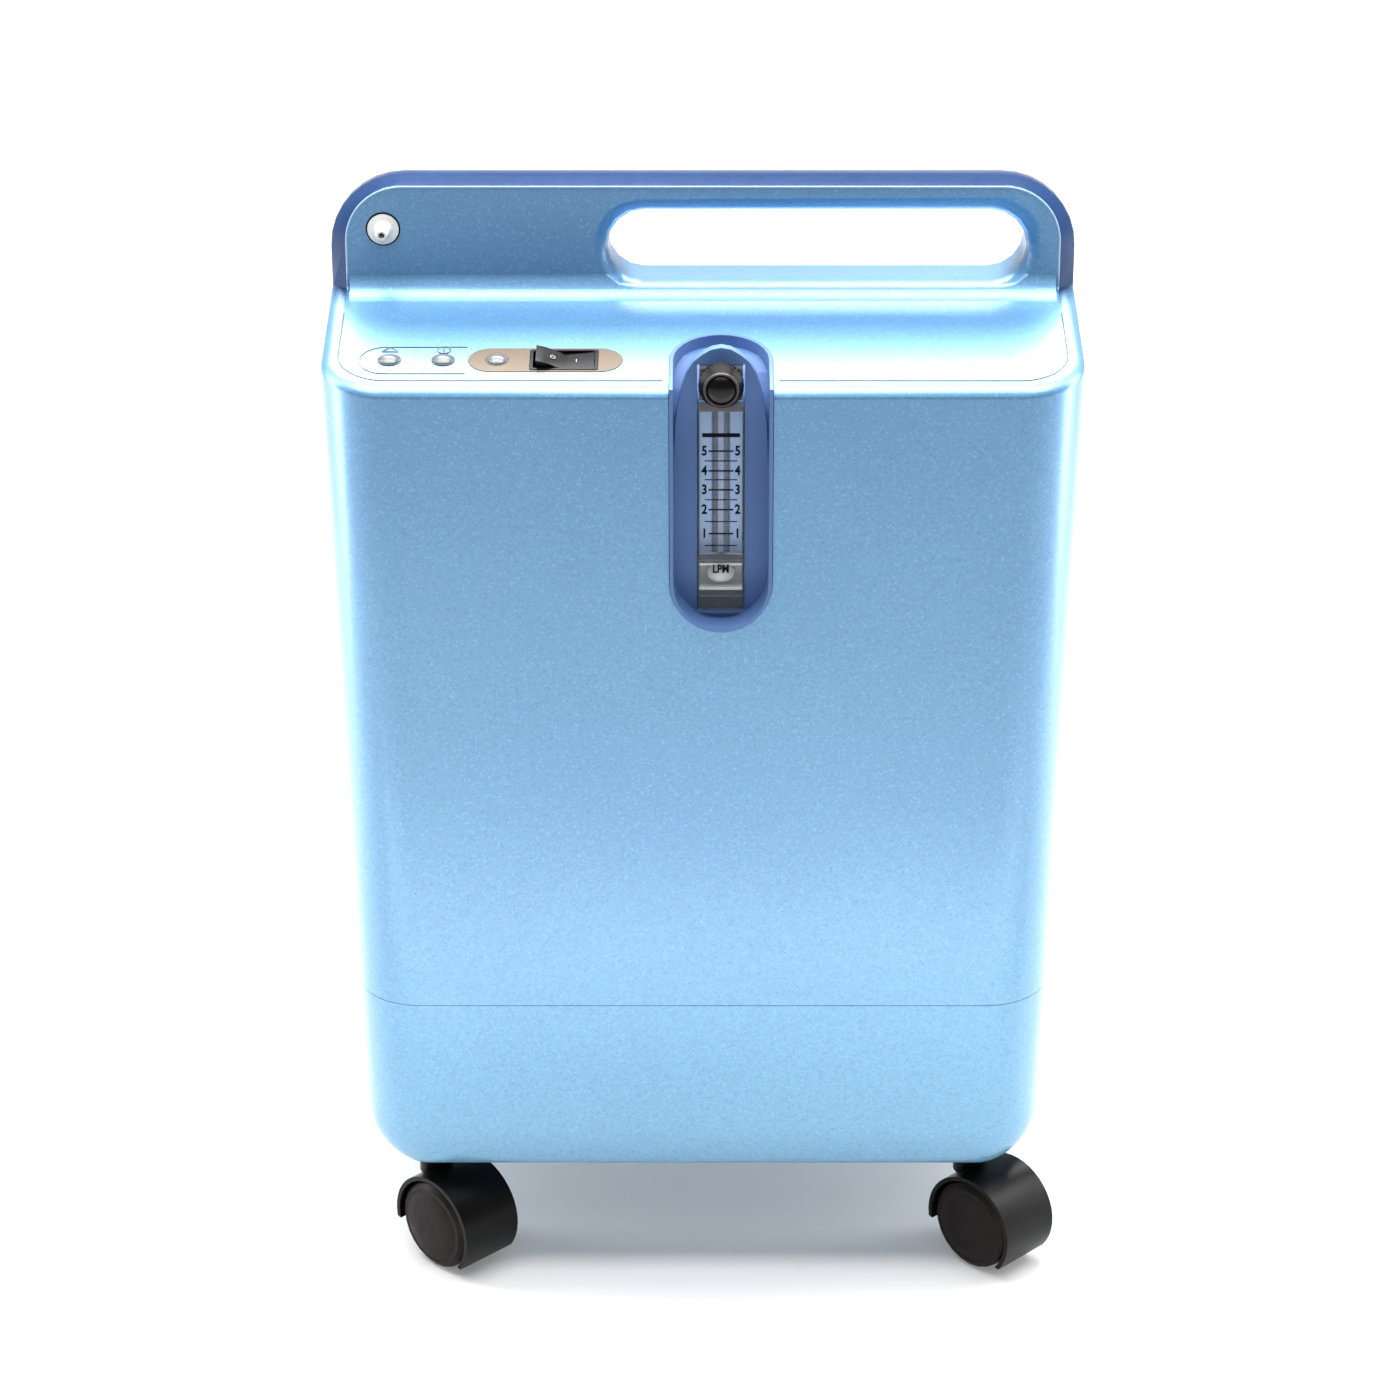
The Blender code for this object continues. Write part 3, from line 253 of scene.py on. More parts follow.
def foam(name, colour):
    """Open-cell filter foam."""
    paint = Paint(name, colour, 0.95)
    pores = paint.cells(900.0, "Distance")
    wall = paint.spread(pores, 0.0, 1.0, 0.1, 0.6)
    paint.tint(paint.mix(wall, scaled(colour, 0.35), scaled(colour, 1.5)))
    paint.rough(paint.spread(pores, 0.9, 1.0, 0.0, 1.0))
    paint.bump(pores, 0.0008, 0.8)
    return paint.material


def clear_plastic(name, colour, alpha, roughness=0.06):
    """See-through acrylic with faint flow lines from its moulding."""
    paint = Paint(name, colour, roughness, Alpha=alpha, Coat_Weight=0.8, Coat_Roughness=0.04)
    flow = paint.noise(120.0, 2.0, 0.5, (1.0, 1.0, 0.15))
    paint.tint(paint.mix(paint.spread(flow, 0.0, 1.0), scaled(colour, 0.94), scaled(colour, 1.04)))
    paint.rough(paint.spread(flow, roughness - 0.03, roughness + 0.04))
    paint.bump(flow, 0.00003, 0.15)
    return paint.material


def rolled_rubber(name, colour):
    """A wheel's hard tread: matt, with dust in its grain."""
    paint = Paint(name, colour, 0.5, Specular_IOR_Level=0.14)
    dust = paint.spread(paint.noise(55.0, 4.0), 0.0, 0.5, 0.45, 0.8)
    paint.tint(paint.mix(dust, colour, scaled(colour, 1.9)))
    paint.rough(paint.spread(paint.noise(140.0, 2.0), 0.38, 0.56))
    paint.bump(paint.noise(1500.0, 2.0), 0.0001, 0.4)
    return paint.material


def bore_painted_light(name, middle):
    """The strip behind the meter's bore, with painted light: painted shade dark at both edges of the tube,
    a painted highlight pale along its middle.
    """
    paint = Paint(name, (0.3, 0.33, 0.42), 0.25)
    x = paint.axes()[0]
    off = paint.math("ABSOLUTE", paint.math("SUBTRACT", x, middle))
    edge = paint.spread(off, 0.0, 1.0, 0.0011, 0.0016)
    outer = paint.spread(off, 0.0, 1.0, 0.0042, 0.0050)
    haze = paint.noise(260.0, 2.0, 0.5, (1.0, 1.0, 0.05))
    pale = paint.mix(paint.spread(haze, 0.0, 1.0), (0.42, 0.43, 0.62), (0.66, 0.68, 0.86))
    dark = paint.mix(paint.spread(haze, 0.0, 1.0), (0.018, 0.020, 0.055), (0.060, 0.075, 0.17))
    # painted shade at the tube's edges, painted highlight along its middle
    tube = paint.mix(edge, pale, dark)
    paint.tint(paint.mix(outer, tube, (0.42, 0.62, 0.92)))
    paint.rough(paint.spread(haze, 0.2, 0.35))
    return paint.material


CABINET_HALF_WIDTH = 0.1905
cad_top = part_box("front_cabinet")[1].z
HOOP_RADIUS = 0.038
HOOP_FACE_Y = -0.0240
BAND_SIDE = 0.0090
BAND_TOP = 0.0022
BAND_BLUR = 0.0004
BAND_FOOT_Z = (0.5225, 0.5265)
BAND_ROUGHNESS_DROP = 0.24
PEARL_METAL = 0.5
FLAKE_SCALE = 1150.0
# The pearl is drawn paler towards the bottom, after the photo's gradient: painted light standing in for the
# floor's bounce on the lower front. The real paint is probably even.
BOUNCE_PAINT_SHARE = 0.55
BOUNCE_PAINT_FACTORS = (1.42, 1.26, 1.04)
BOUNCE_PAINT_HEIGHTS = (0.06, 0.50)
STEEP_EDGE = math.radians(32)

PEARL_DEEP = (0.116, 0.276, 0.490)
PEARL_PALE = (0.138, 0.322, 0.524)
LOOKS = {
    # The band colour here is the hoop's dark outer border: partly a deeper blue, partly painted shade.
    "front": metallic_paint("pearl_blue_front", PEARL_DEEP, PEARL_PALE, 0.40, (0.010, 0.030, 0.090)),
    "cabinet": metallic_paint("pearl_blue", PEARL_DEEP, PEARL_PALE, 0.40),
    "recess": moulded("recess_navy", (0.098, 0.185, 0.400), 0.42, 1600.0, Specular_IOR_Level=0.25),
    # A dark ring round each lens: painted shadow at the lens foot.
    "collar": moulded("lens_collar_painted_shade", (0.050, 0.055, 0.062), 0.35, 900.0, 0.00003),
    # The bead is paler than the pearl: a painted highlight on the real edge of the hoop's face.
    "bead": moulded("edge_bead_painted_highlight", (0.30, 0.46, 0.60), 0.30, 900.0, 0.00002),
    # The groove's dark colour is painted shade in the deck's crease.
    "groove": moulded("deck_groove_painted_shade", (0.10, 0.15, 0.18), 0.60, 900.0, 0.00002),
    "clear": clear_plastic("meter_acrylic", (0.50, 0.66, 0.84), 0.10),
    "tube": clear_plastic("clear_hose", (0.75, 0.80, 0.82), 0.45, 0.15),
    "black": moulded("black_plastic", (0.0022, 0.0018, 0.0018), 0.34, 1900.0, Specular_IOR_Level=0.16),
    "gloss_black": moulded("gloss_black", (0.002, 0.002, 0.002), 0.10, 900.0, 0.00001,
        Specular_IOR_Level=0.30),
    "rocker": moulded("rocker_black", (0.0055, 0.0040, 0.0028), 0.24, 1500.0, 0.00002,
        Specular_IOR_Level=0.22),
    "white": moulded("white_plastic", (0.80, 0.80, 0.77), 0.36, 1700.0),
    "taupe": moulded("taupe_plate", (0.125, 0.094, 0.064), 0.42, 1400.0, 0.00004,
        Metallic=0.25, Specular_IOR_Level=0.25),
    "lens": moulded("lens_silver", (0.17, 0.18, 0.185), 0.30, 900.0, 0.00003,
        Metallic=0.3, Specular_IOR_Level=0.3),
    "wheel": rolled_rubber("wheel_tread", (0.0060, 0.0038, 0.0034)),
    "steel": rubbed("sheet_steel", (0.60, 0.61, 0.63), 0.34),
    "alloy": cast("cast_alloy", (0.50, 0.51, 0.52)),
    "rubber": moulded("isolator_rubber", (0.025, 0.025, 0.025), 0.78, 900.0, 0.0002),
    "foam": foam("filter_foam", (0.050, 0.050, 0.055)),
    "grey": moulded("grey_plastic", (0.26, 0.27, 0.28), 0.48),
    "board": moulded("solder_mask", (0.015, 0.13, 0.055), 0.38, 1200.0),
    "brass": rubbed("turned_brass", (0.72, 0.50, 0.20), 0.28),
    "ink": moulded("marking_ink", (0.0025, 0.003, 0.006), 0.6, 900.0, 0.00001, Specular_IOR_Level=0.08),
    "grey_ink": moulded("deck_marking", (0.16, 0.20, 0.24), 0.5, 900.0, 0.00001),
    "mark_white": moulded("switch_marking", (0.72, 0.70, 0.66), 0.45, 900.0, 0.00001),
    "cream": moulded("cream_fitting", (0.62, 0.61, 0.55), 0.3, 900.0),
    "brown": moulded("meter_seal", (0.055, 0.038, 0.036), 0.3, 900.0),
}
BY_NODE = {
    "front_cabinet": "front", "rear_cabinet": "cabinet", "base_pan": "cabinet", "filter_door": "cabinet",
    "flowmeter_bezel": "recess", "side_stud": "recess", "flowmeter_body": "clear", "product_hose": "tube",
    "outlet_hose": "tube", "flow_float": "gloss_black", "flow_knob": "black", "needle_valve": "brass",
    "oxygen_outlet": "white", "panel_plate": "taupe", "switch_housing": "black", "power_rocker": "rocker",
    "lens_alarm": "lens", "lens_service": "lens", "lens_power": "lens", "intake_filter": "foam",
    "power_inlet": "black", "breaker_body": "black", "breaker_button": "white", "hour_meter": "black",
    "parts_tray": "steel", "compressor": "alloy", "cylinder_head_a": "alloy", "cylinder_head_b": "alloy",
    "fan_shroud": "black", "fan_rotor": "grey", "sieve_bed_a": "alloy", "sieve_bed_b": "alloy",
    "product_tank": "white", "valve_manifold": "alloy", "solenoid_a": "grey", "solenoid_b": "grey",
    "control_board": "board", "run_capacitor": "white", "intake_silencer": "grey",
    "heat_exchanger": "alloy",
}


def look_of(name):
    if name in BY_NODE:
        return BY_NODE[name]
    if name.startswith("isolator"):
        return "rubber"
    if name.endswith("hood"):
        return "black"
    return "steel" if name.endswith("axle") else "wheel"


def rounded_shading():
    """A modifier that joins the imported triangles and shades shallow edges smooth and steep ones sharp."""
    tree = bpy.data.node_groups.new("rounded_shading", "GeometryNodeTree")
    tree.interface.new_socket("Geometry", in_out="INPUT", socket_type="NodeSocketGeometry")
    tree.interface.new_socket("Geometry", in_out="OUTPUT", socket_type="NodeSocketGeometry")
    start, end = tree.nodes.new("NodeGroupInput"), tree.nodes.new("NodeGroupOutput")
    weld = tree.nodes.new("GeometryNodeMergeByDistance")
    weld.inputs["Distance"].default_value = 1e-6
    forget = tree.nodes.new("GeometryNodeRemoveAttribute")
    forget.inputs["Name"].default_value = "custom_normal"
    faces, edges = (tree.nodes.new("GeometryNodeSetShadeSmooth") for _ in range(2))
    edges.domain = "EDGE"
    edges.inputs["Shade Smooth"].default_value = False
    angle = tree.nodes.new("GeometryNodeInputMeshEdgeAngle")
    steep = tree.nodes.new("FunctionNodeCompare")
    steep.operation = "GREATER_THAN"
    steep.inputs["B"].default_value = STEEP_EDGE
    for source, target in (
        (start.outputs[0], weld.inputs[0]),
        (weld.outputs[0], forget.inputs["Geometry"]),
        (forget.outputs[0], faces.inputs["Geometry"]),
        (faces.outputs[0], edges.inputs["Geometry"]),
        (angle.outputs["Unsigned Angle"], steep.inputs["A"]),
        (steep.outputs[0], edges.inputs["Selection"]),
        (edges.outputs[0], end.inputs[0]),
    ):
        tree.links.new(source, target)
    return tree


SHADING = rounded_shading()
for node_name, node in nodes.items():
    node.data.materials.clear()
    node.data.materials.append(LOOKS[look_of(node_name)])
    node.modifiers.new("shading", "NODES").node_group = SHADING
    weighted = node.modifiers.new("weighted", "WEIGHTED_NORMAL")
    weighted.keep_sharp = True


# ---------------------------------------------------------------- trim helpers
def piece(name, bm, look, body, smooth=True):
    bmesh.ops.recalc_face_normals(bm, faces=bm.faces)
    mesh = bpy.data.meshes.new(name)
    bm.to_mesh(mesh)
    bm.free()
    mesh.materials.append(LOOKS[look])
    for polygon in mesh.polygons:
        polygon.use_smooth = smooth
    obj = bpy.data.objects.new(name, mesh)
    bpy.context.scene.collection.objects.link(obj)
    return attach(obj, body)


def sweep_ring(bm, route, radius, closed, sides=8):
    """A round tube along the points of route."""
    count = len(route)
    rings = []
    for i, point in enumerate(route):
        before = route[(i - 1) % count] if closed or i else point
        after = route[(i + 1) % count] if closed or i < count - 1 else point
        along = (after - before).normalized()
        side = last - along * last.dot(along) if rings else along.orthogonal()
        side = last = side.normalized()
        other = along.cross(side)
        turn = [2 * math.pi * k / sides for k in range(sides)]
        ring = [point + radius * (math.cos(a) * side + math.sin(a) * other) for a in turn]
        rings.append([bm.verts.new(spot) for spot in ring])
    spans = list(zip(rings, rings[1:])) + ([(rings[-1], rings[0])] if closed else [])
    for first, second in spans:
        for k in range(sides):
            bm.faces.new((first[k], first[(k + 1) % sides], second[(k + 1) % sides], second[k]))
    if not closed:
        bm.faces.new(rings[0])
        bm.faces.new(list(reversed(rings[-1])))


def tubes(name, routes, radius, look, body, place=Matrix.Identity(4), closed=False, sides=8):
    bm = bmesh.new()
    for route in routes:
        sweep_ring(bm, [place @ Vector(point) for point in route], radius, closed, sides)
    return piece(name, bm, look, body)


def slabs(name, boxes, look, body, edge=0.0):
    """Thin blocks, each from its low and high corner, with broken edges."""
    bm = bmesh.new()
    for low, high in boxes:
        made = bmesh.ops.create_cube(bm, size=1)["verts"]
        low, high = Vector(low), Vector(high)
        bmesh.ops.scale(bm, vec=high - low, verts=made)
        bmesh.ops.translate(bm, vec=(low + high) / 2, verts=made)
    if edge:
        bmesh.ops.bevel(bm, geom=bm.edges[:], offset=edge, segments=2, profile=0.6, affect="EDGES")
    return piece(name, bm, look, body, smooth=False)


def lathe(name, profiles, look, body, steps=40):
    """Turned pieces: each a list of (radius, height) and the placement of its axis."""
    bm = bmesh.new()
    for profile, place in profiles:
        rings = []
        for radius, height in profile:
            if radius < 1e-6:
                rings.append([bm.verts.new(place @ Vector((0, 0, height)))])
                continue
            turn = [2 * math.pi * k / steps for k in range(steps)]
            ring = [place @ Vector((radius * math.cos(a), radius * math.sin(a), height)) for a in turn]
            rings.append([bm.verts.new(point) for point in ring])
        for first, second in zip(rings, rings[1:]):
            for k in range(steps):
                j = (k + 1) % steps
                corners = [first[k % len(first)], first[j % len(first)]]
                corners += [second[j % len(second)], second[k % len(second)]]
                unique = list(dict.fromkeys(corners))
                if len(unique) > 2:
                    bm.faces.new(unique)
    return piece(name, bm, look, body)


CAPITAL_SHARE = 0.72
FIGURE_DEPTH = 0.00005
FIGURE_WEIGHT = 0.045
FIGURE_NARROWING = 0.80


def lettering(name, marks, look, body):
    """Dial figures: each is its text, its height and the placement that faces it outward."""
    bm = bmesh.new()
    for text, height, place in marks:
        font = bpy.data.curves.new(name, "FONT")
        font.body = text
        font.size = height / CAPITAL_SHARE
        font.align_x, font.align_y = "CENTER", "CENTER"
        font.extrude = FIGURE_DEPTH
        font.offset = height * FIGURE_WEIGHT
        holder = bpy.data.objects.new(name + "_guide", font)
        bpy.context.scene.collection.objects.link(holder)
        bpy.context.view_layer.update()
        made = bpy.data.meshes.new_from_object(holder.evaluated_get(bpy.context.evaluated_depsgraph_get()))
        made.transform(place @ Matrix.Diagonal((FIGURE_NARROWING, 1, 1, 1)))
        bm.from_mesh(made)
        bpy.data.objects.remove(holder)
        bpy.data.meshes.remove(made)
        bpy.data.curves.remove(font)
    return piece(name, bm, look, body, smooth=False)


def bow(centre, radius, start, end, steps):
    """Points on an arc in the plane of x and y, angles in degrees."""
    turn = [math.radians(start + (end - start) * i / steps) for i in range(steps + 1)]
    return [(centre[0] + radius * math.cos(a), centre[1] + radius * math.sin(a), 0.0) for a in turn]


FACE_FRONT = Matrix.Rotation(math.pi / 2, 4, "X")

# ---------------------------------------------------------------- deck markings
DECK_SLOPE = math.radians(11)
plate_low, plate_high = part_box("panel_plate")
plate_middle = (plate_low + plate_high) / 2


def on_deck(x, along=0.0, lift=0.0005):
    """A place on the deck: along is measured up its slope from the row of controls."""
    spot = Matrix.Translation((x, plate_middle.y, plate_middle.z))
    return spot @ Matrix.Rotation(DECK_SLOPE, 4, "X") @ Matrix.Translation((0, along, lift))


LENSES = ("lens_alarm", "lens_service", "lens_power")
DECK_LINE = 0.00032
BORDER_RADIUS = 0.0130
PLATE_RADIUS = 0.0112
SYMBOL_UP = 0.0098
lens_x = {name: sum(corner.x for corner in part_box(name)) / 2 for name in LENSES}
left_end = lens_x["lens_alarm"] - 0.0150
border_end = plate_low.x - 0.0012
border = [(border_end, 0.0128, 0), (left_end + BORDER_RADIUS, 0.0128, 0)]
border += bow((left_end + BORDER_RADIUS, -0.0002), BORDER_RADIUS, 90, 270, 18)
border += [(border_end, -0.0132, 0)]
tubes("panel_border", [border], DECK_LINE, "grey_ink", "cabinet", on_deck(0.0, lift=0.0004))
plate_half = (plate_high.x - plate_low.x) / 2
rim = bow((plate_half - PLATE_RADIUS, 0), PLATE_RADIUS, -90, 90, 16)
rim += bow((PLATE_RADIUS - plate_half, 0), PLATE_RADIUS, 90, 270, 16)
tubes("plate_edge", [rim], 0.00028, "taupe", "cabinet", on_deck(plate_middle.x, lift=0.0003), closed=True)
triangle = [(-0.0040, -0.0016, 0), (0.0, 0.0030, 0), (0.0040, -0.0016, 0), (-0.0040, -0.0016, 0)]
alarm_place = on_deck(lens_x["lens_alarm"], SYMBOL_UP)
tubes("alarm_symbol", [triangle], DECK_LINE, "grey_ink", "cabinet", alarm_place)
hoop = bow((0, 0), 0.0033, 0, 345, 22)
stroke = [(0, 0.0019, 0), (0, -0.0004, 0)]
dot = [(0, -0.0014, 0), (0, -0.0018, 0)]
service_place = on_deck(lens_x["lens_service"], SYMBOL_UP)
tubes("service_symbol", [hoop, stroke, dot], DECK_LINE, "grey_ink", "cabinet", service_place)
# Raised rings round the lenses, coloured dark to stand for the shade at their lower rims: painted shadow.
collar = [(0.0046, 0.0), (0.0056, 0.0002), (0.0058, 0.0006), (0.0050, 0.0007), (0.0046, 0.0)]
lathe("lens_collars", [(collar, on_deck(x, lift=0.0)) for x in lens_x.values()], "collar", "cabinet")

# ---------------------------------------------------------------- edges of the deck and the hoop
cabinet_mesh = nodes["front_cabinet"].data
cabinet_points = [v.co for v in cabinet_mesh.vertices]
surface = BVHTree.FromPolygons(cabinet_points, [p.vertices for p in cabinet_mesh.polygons])


def draped(points):
    """Points set down on the cabinet from above."""
    hits = [surface.ray_cast(Vector((x, y, 1.0)), Vector((0, 0, -1)))[0] for x, y in points]
    return [hit + Vector((0, 0, 0.00005)) for hit in hits if hit]


def corner(centre_x, centre_y, radius, start, end, steps=14):
    """A bow's points without their third axis."""
    return [(centre_x + x, centre_y + y) for x, y, _ in bow((0, 0), radius, start, end, steps)]


GROOVE_INSET = 0.0088
GROOVE_TURN_X = 0.150
GROOVE_STEPS = 10
BEZEL_GAP = 0.0030
CORNER_RADIUS = 0.034
cab_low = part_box("front_cabinet")[0]
turn_radius = CORNER_RADIUS - GROOVE_INSET
groove_front = cab_low.y + GROOVE_INSET
groove_side = CABINET_HALF_WIDTH - GROOVE_INSET
bezel_low, bezel_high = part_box("flowmeter_bezel")
left_run = [(-groove_side, y) for y in np.linspace(-0.046, groove_front + turn_radius, 8)]
left_run += corner(turn_radius - groove_side, groove_front + turn_radius, turn_radius, 180, 270)
left_run += [(x, groove_front) for x in np.linspace(-GROOVE_TURN_X, bezel_low.x - BEZEL_GAP, GROOVE_STEPS)]
right_run = [(-x, y) for x, y in left_run[:-GROOVE_STEPS]]
right_run += [(x, groove_front) for x in np.linspace(GROOVE_TURN_X, bezel_high.x + BEZEL_GAP, GROOVE_STEPS)]
# A dark line along the deck's crease: painted shade.
tubes("deck_groove_painted_shade", [draped(left_run), draped(right_run)], 0.00045, "groove", "cabinet", sides=6)
BEAD_GAP = 0.0003
BEAD_FOOT_Z = 0.5290
bead_reach = HOOP_RADIUS - BAND_SIDE - BEAD_GAP
bead_side = CABINET_HALF_WIDTH - HOOP_RADIUS
bead_top = cad_top - BAND_TOP - BEAD_GAP - bead_reach
bead = [(-bead_side - bead_reach, z) for z in np.linspace(BEAD_FOOT_Z, bead_top, 4)[:-1]]
bead += corner(-bead_side, bead_top, bead_reach, 180, 90) + corner(bead_side, bead_top, bead_reach, 90, 0)
bead += [(bead_side + bead_reach, z) for z in np.linspace(bead_top, BEAD_FOOT_Z, 4)[1:]]
# A raised bead on the hoop face's edge, coloured pale as a painted highlight.
tubes("hoop_bead_highlight", [[(x, HOOP_FACE_Y + 0.0001, z) for x, z in bead]], 0.00055, "bead", "cabinet", sides=8)

# ---------------------------------------------------------------- power switch
rocker_x = sum(corner.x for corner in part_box("switch_housing")) / 2
seat = on_deck(rocker_x, lift=-0.0023) @ Matrix.Rotation(math.radians(7), 4, "Y")
off_face = seat @ Matrix.Translation((-0.0060, 0, 0.00375)) @ Matrix.Rotation(math.radians(16.2), 4, "Y")
on_face = seat @ Matrix.Translation((0.0058, 0, 0.00300)) @ Matrix.Rotation(math.radians(-10.2), 4, "Y")
tubes("off_mark", [bow((0, 0), 0.0013, 0, 345, 16)], 0.00016, "mark_white", "power_rocker", off_face)
tubes("on_mark", [[(0, -0.0014, 0), (0, 0.0014, 0)]], 0.00018, "mark_white", "power_rocker", on_face)

# ---------------------------------------------------------------- flow meter
meter_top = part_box("flowmeter_body")[1].z
knob_low, knob_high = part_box("flow_knob")
meter_x = (knob_low.x + knob_high.x) / 2
face_y = knob_high.y + 0.0003
MAJOR = {"5": 0.4712, "4": 0.4607, "3": 0.4506, "2": 0.4400, "1": 0.4271}
MINOR = (0.4660, 0.4560, 0.4453, 0.4336, 0.4207)
BORE_HALF = 0.0108
HEAD_INNER = 0.0062
HEAD_Z = 0.4960


def on_meter(x, z):
    return Matrix.Translation((meter_x + x, face_y - 0.00018, z)) @ FACE_FRONT


def meter_block(low_y, high_y, low_z, high_z):
    """A block across the meter's whole bore."""
    return (meter_x - BORE_HALF, low_y, low_z), (meter_x + BORE_HALF, high_y, high_z)


def dash(z, half, thick):
    low = (meter_x - half, face_y - 0.00016, z - thick / 2)
    return low, (meter_x + half, face_y - 0.00002, z + thick / 2)


dashes = [dash(z, 0.0062, 0.00085) for z in MAJOR.values()] + [dash(z, 0.0081, 0.00055) for z in MINOR]
slabs("scale_lines", [*dashes, dash(0.4796, 0.0094, 0.0021)], "ink", "cabinet")
figures = [(text, 0.0050, on_meter(side * 0.0083, z)) for text, z in MAJOR.items() for side in (-1, 1)]
lettering("scale_figures", figures, "ink", "cabinet")
lettering("scale_unit", [("LPM", 0.0043, on_meter(0.0, 0.4078))], "ink", "cabinet")
# The bore's strip carries painted shade at the tube's edges and a painted highlight along its middle.
LOOKS["bore_painted_light"] = bore_painted_light("bore_backing_painted_light", meter_x)
middle_y = (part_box("flow_float")[0].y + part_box("flow_float")[1].y) / 2
back_low, back_high = middle_y + 0.0046, middle_y + 0.0054
backing = meter_block(back_low, back_high, 0.4125, HEAD_Z)
slabs("bore_backing_painted_light", [backing], "bore_painted_light", "cabinet", edge=0.0002)
foot_backing = meter_block(back_low, back_high, 0.3940, 0.4121)
slabs("foot_backing", [foot_backing], "cream", "cabinet", edge=0.0002)
SEAL_HEIGHTS = ((0.4917, 0.4943), (0.4118, 0.4127), (0.3926, 0.3932))
seals = [meter_block(face_y + 0.0006, face_y + 0.0080, low, high) for low, high in SEAL_HEIGHTS]
slabs("meter_seals", seals, "brown", "cabinet", edge=0.0002)
head_back = face_y + 0.0110
head = [
    ((meter_x - BORE_HALF, face_y + 0.0050, HEAD_Z), (meter_x - HEAD_INNER, head_back, meter_top)),
    ((meter_x + HEAD_INNER, face_y + 0.0050, HEAD_Z), (meter_x + BORE_HALF, head_back, meter_top)),
    ((meter_x - HEAD_INNER, face_y + 0.0080, HEAD_Z), (meter_x + HEAD_INNER, head_back, meter_top)),
]
slabs("meter_head", head, "brown", "cabinet", edge=0.0006)
fitting = [(0.0, 0.0042), (0.0030, 0.0038), (0.0056, 0.0024)]
fitting += [(0.0068, 0.0), (0.0068, -0.0035), (0.0, -0.0035)]
fitting_spot = Matrix.Translation((meter_x, face_y + 0.0062, 0.4040))
fitting_place = fitting_spot @ FACE_FRONT @ Matrix.Diagonal((1.1, 0.85, 1, 1))
lathe("inlet_fitting", [(fitting, fitting_place)], "cream", "cabinet")
LEDGE_HEIGHTS = ((0.3962, 0.3975), (0.4095, 0.4108))
ledges = [meter_block(face_y + 0.0008, face_y + 0.0070, low, high) for low, high in LEDGE_HEIGHTS]
slabs("meter_ledges", ledges, "cream", "cabinet", edge=0.0003)
knob_place = Matrix.Translation((meter_x, knob_low.y, (knob_low.z + knob_high.z) / 2)) @ FACE_FRONT
dome = [(0.0, 0.0021), (0.0022, 0.00195), (0.0044, 0.0015), (0.0062, 0.0008)]
dome += [(0.0071, 0.0), (0.0071, -0.0004), (0, -0.0004)]
lathe("knob_dome", [(dome, knob_place)], "gloss_black", "flow_knob", 48)
collar = [(0.0076, -0.0004), (0.0079, 0.0006), (0.0086, 0.0004)]
collar += [(0.0089, -0.0010), (0.0076, -0.0010), (0.0076, -0.0004)]
lathe("knob_ring", [(collar, knob_place)], "brown", "flow_knob", 48)
KNOB_RIBS = 30
knob_ribs = []
knob_reach = (knob_high.x - knob_low.x) / 2 - 0.00005
for count in range(KNOB_RIBS):
    turned = Matrix.Rotation(2 * math.pi * count / KNOB_RIBS, 4, "Z")
    knob_ribs.append([turned @ Vector((knob_reach, 0, -0.0052)), turned @ Vector((knob_reach, 0, -0.0096))])
tubes("knob_grip", knob_ribs, 0.00022, "gloss_black", "flow_knob", knob_place, sides=6)

# ---------------------------------------------------------------- oxygen outlet
outlet_low, outlet_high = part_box("oxygen_outlet")
outlet_place = Matrix.Translation(
    ((outlet_low.x + outlet_high.x) / 2, HOOP_FACE_Y - 0.0003, (outlet_low.z + outlet_high.z) / 2)
) @ FACE_FRONT
outlet_circle = bow((0, 0), 0.0084, 0, 352, 44)[:-1]
tubes("outlet_ring", [outlet_circle], 0.00038, "ink", "cabinet", outlet_place, closed=True)

# ---------------------------------------------------------------- casters
CAP_REACH = 0.0188
for side in ("left", "right"):
    for end in ("front", "rear"):
        name = f"caster_{end}_{side}"
        axle_low, axle_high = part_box(name + "_axle")
        hub = (axle_low + axle_high) / 2
        for label in ("a", "b"):
            low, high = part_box(f"{name}_wheel_{label}")
            outward = (low + high) / 2 - hub
            outward.z = 0.0
            outward.normalize()
            face = hub + outward * CAP_REACH
            place = Matrix.Translation(face) @ outward.to_track_quat("Z", "Y").to_matrix().to_4x4()
            cap = [(0.0, 0.0012), (0.0060, 0.0011), (0.0130, 0.0007)]
            cap += [(0.0190, 0.0), (0.0204, -0.0008), (0.0, -0.0008)]
            lathe(f"{name}_cap_{label}", [(cap, place)], "wheel", f"{name}_wheel_{label}", 40)


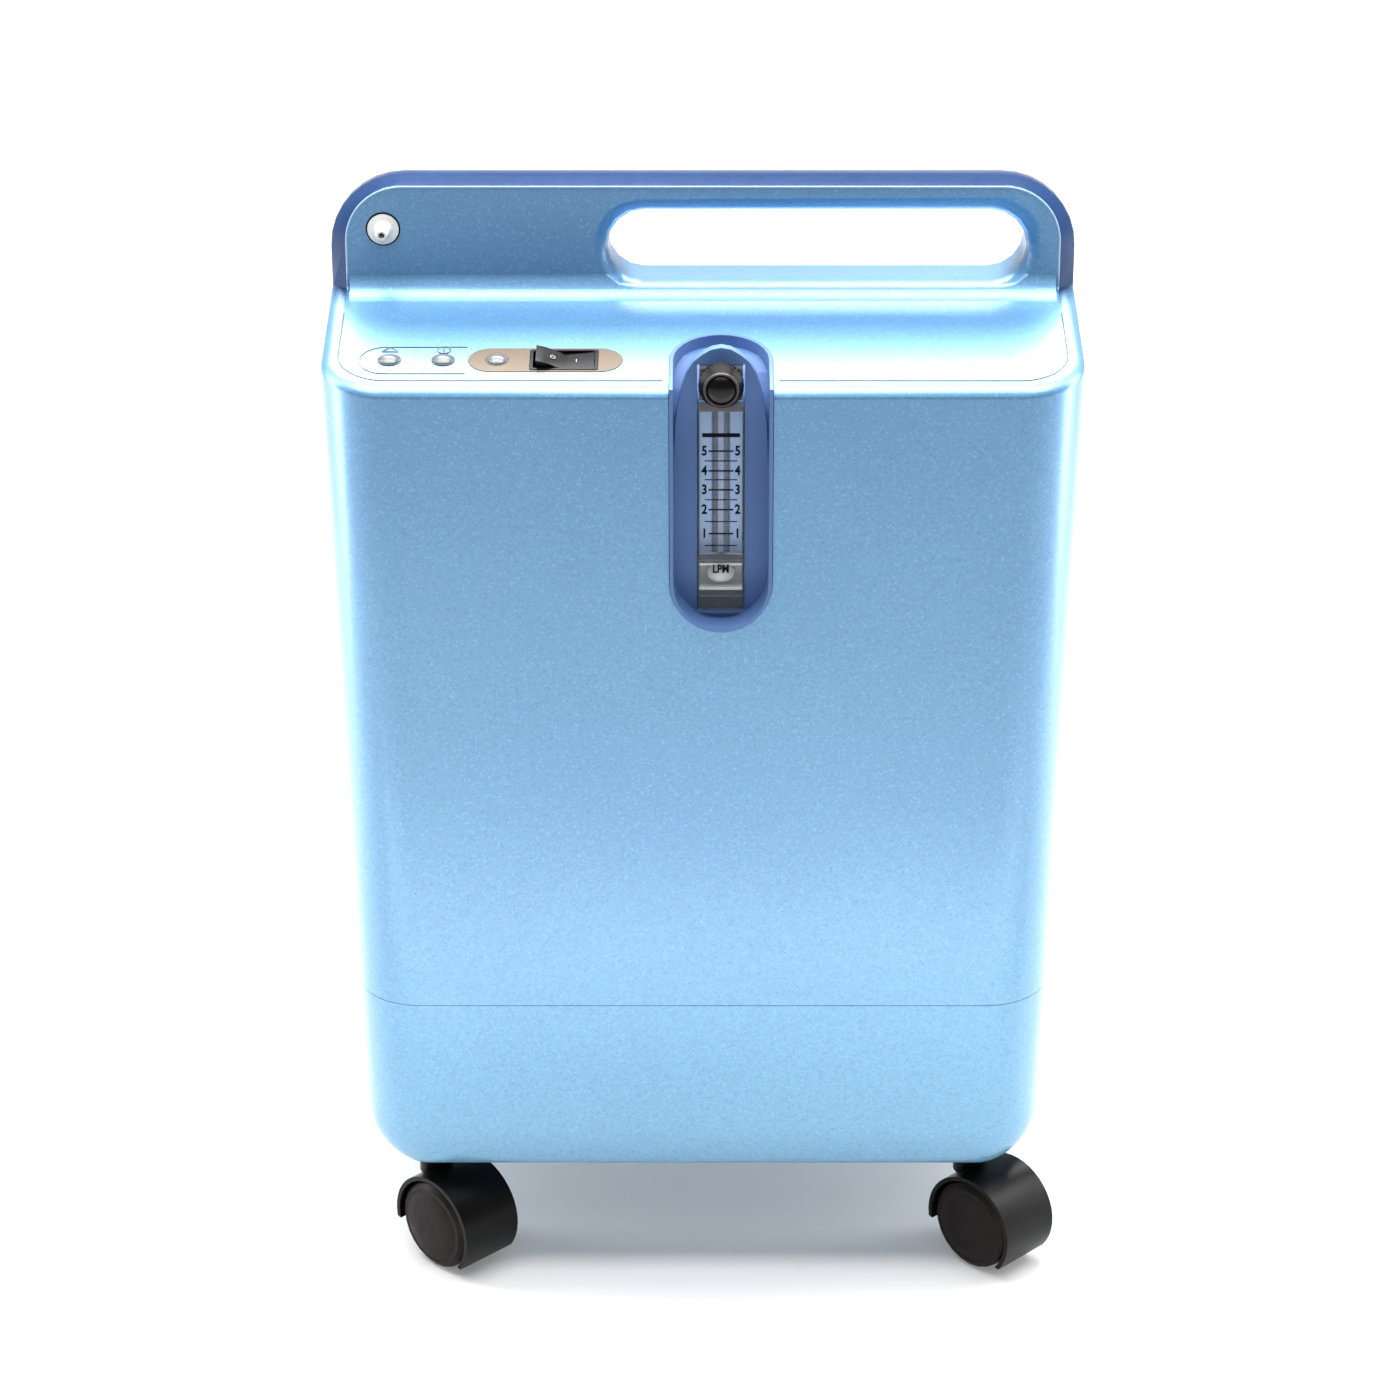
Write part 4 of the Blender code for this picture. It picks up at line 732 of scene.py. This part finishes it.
# ---------------------------------------------------------------- studio
def lamp(name, size, energy, place, aim):
    light = bpy.data.lights.new(name, "AREA")
    light.shape = "RECTANGLE"
    light.size, light.size_y = size
    light.energy = energy
    body = bpy.data.objects.new(name, light)
    bpy.context.scene.collection.objects.link(body)
    body.location = place
    body.rotation_euler = (Vector(aim) - Vector(place)).to_track_quat("-Z", "Y").to_euler()


lamp("top_light", (2.4, 0.9), 72.0, (0.0, -0.18, 2.1), (0.0, 0.0, 0.0))
lamp("back_bank", (2.8, 1.1), 155.0, (0.0, 1.55, 2.45), (0.0, 0.0, 0.5))
lamp("low_front", (1.0, 0.10), 0.75, (0.0, -0.42, 0.03), (0.0, 0.0, 0.12))
lamp("front_fill", (1.4, 0.5), 3.0, (0.0, -1.5, 1.7), (0.0, 0.0, 0.50))
lamp("left_edge", (0.30, 1.3), 11.0, (-1.0, 0.10, 0.60), (0.0, 0.05, 0.22))
lamp("right_edge", (0.30, 1.3), 11.0, (1.0, 0.10, 0.60), (0.0, 0.05, 0.22))

floor_mesh = bpy.data.meshes.new("floor")
sweep = [(-6.0, 0.0), (2.2, 0.0)]
sweep += [(2.2 + 1.2 * math.sin(a), 1.2 - 1.2 * math.cos(a)) for a in np.linspace(0.1, math.pi / 2, 14)]
sweep += [(3.4, 5.0)]
points = [(x, y, z) for y, z in sweep for x in (-7.0, 7.0)]
faces = [(2 * i, 2 * i + 1, 2 * i + 3, 2 * i + 2) for i in range(len(sweep) - 1)]
floor_mesh.from_pydata(points, [], faces)
floor = bpy.data.objects.new("floor", floor_mesh)
bpy.context.scene.collection.objects.link(floor)
for polygon in floor_mesh.polygons:
    polygon.use_smooth = True
floor_paint = Paint("studio_floor", (0.58, 0.58, 0.58), 0.9)
floor_paint.rough(floor_paint.spread(floor_paint.noise(3.0), 0.85, 0.95))
floor_paint.shader.inputs["Emission Color"].default_value = (1.0, 1.0, 1.0, 1.0)
floor_paint.shader.inputs["Emission Strength"].default_value = 0.16
floor_mesh.materials.append(floor_paint.material)

world = bpy.data.worlds.new("studio")
bpy.context.scene.world = world
world.use_nodes = True
world.node_tree.nodes["Background"].inputs["Color"].default_value = (1.0, 1.0, 1.0, 1.0)
world.node_tree.nodes["Background"].inputs["Strength"].default_value = 0.22
bpy.context.scene.view_settings.view_transform = "Standard"
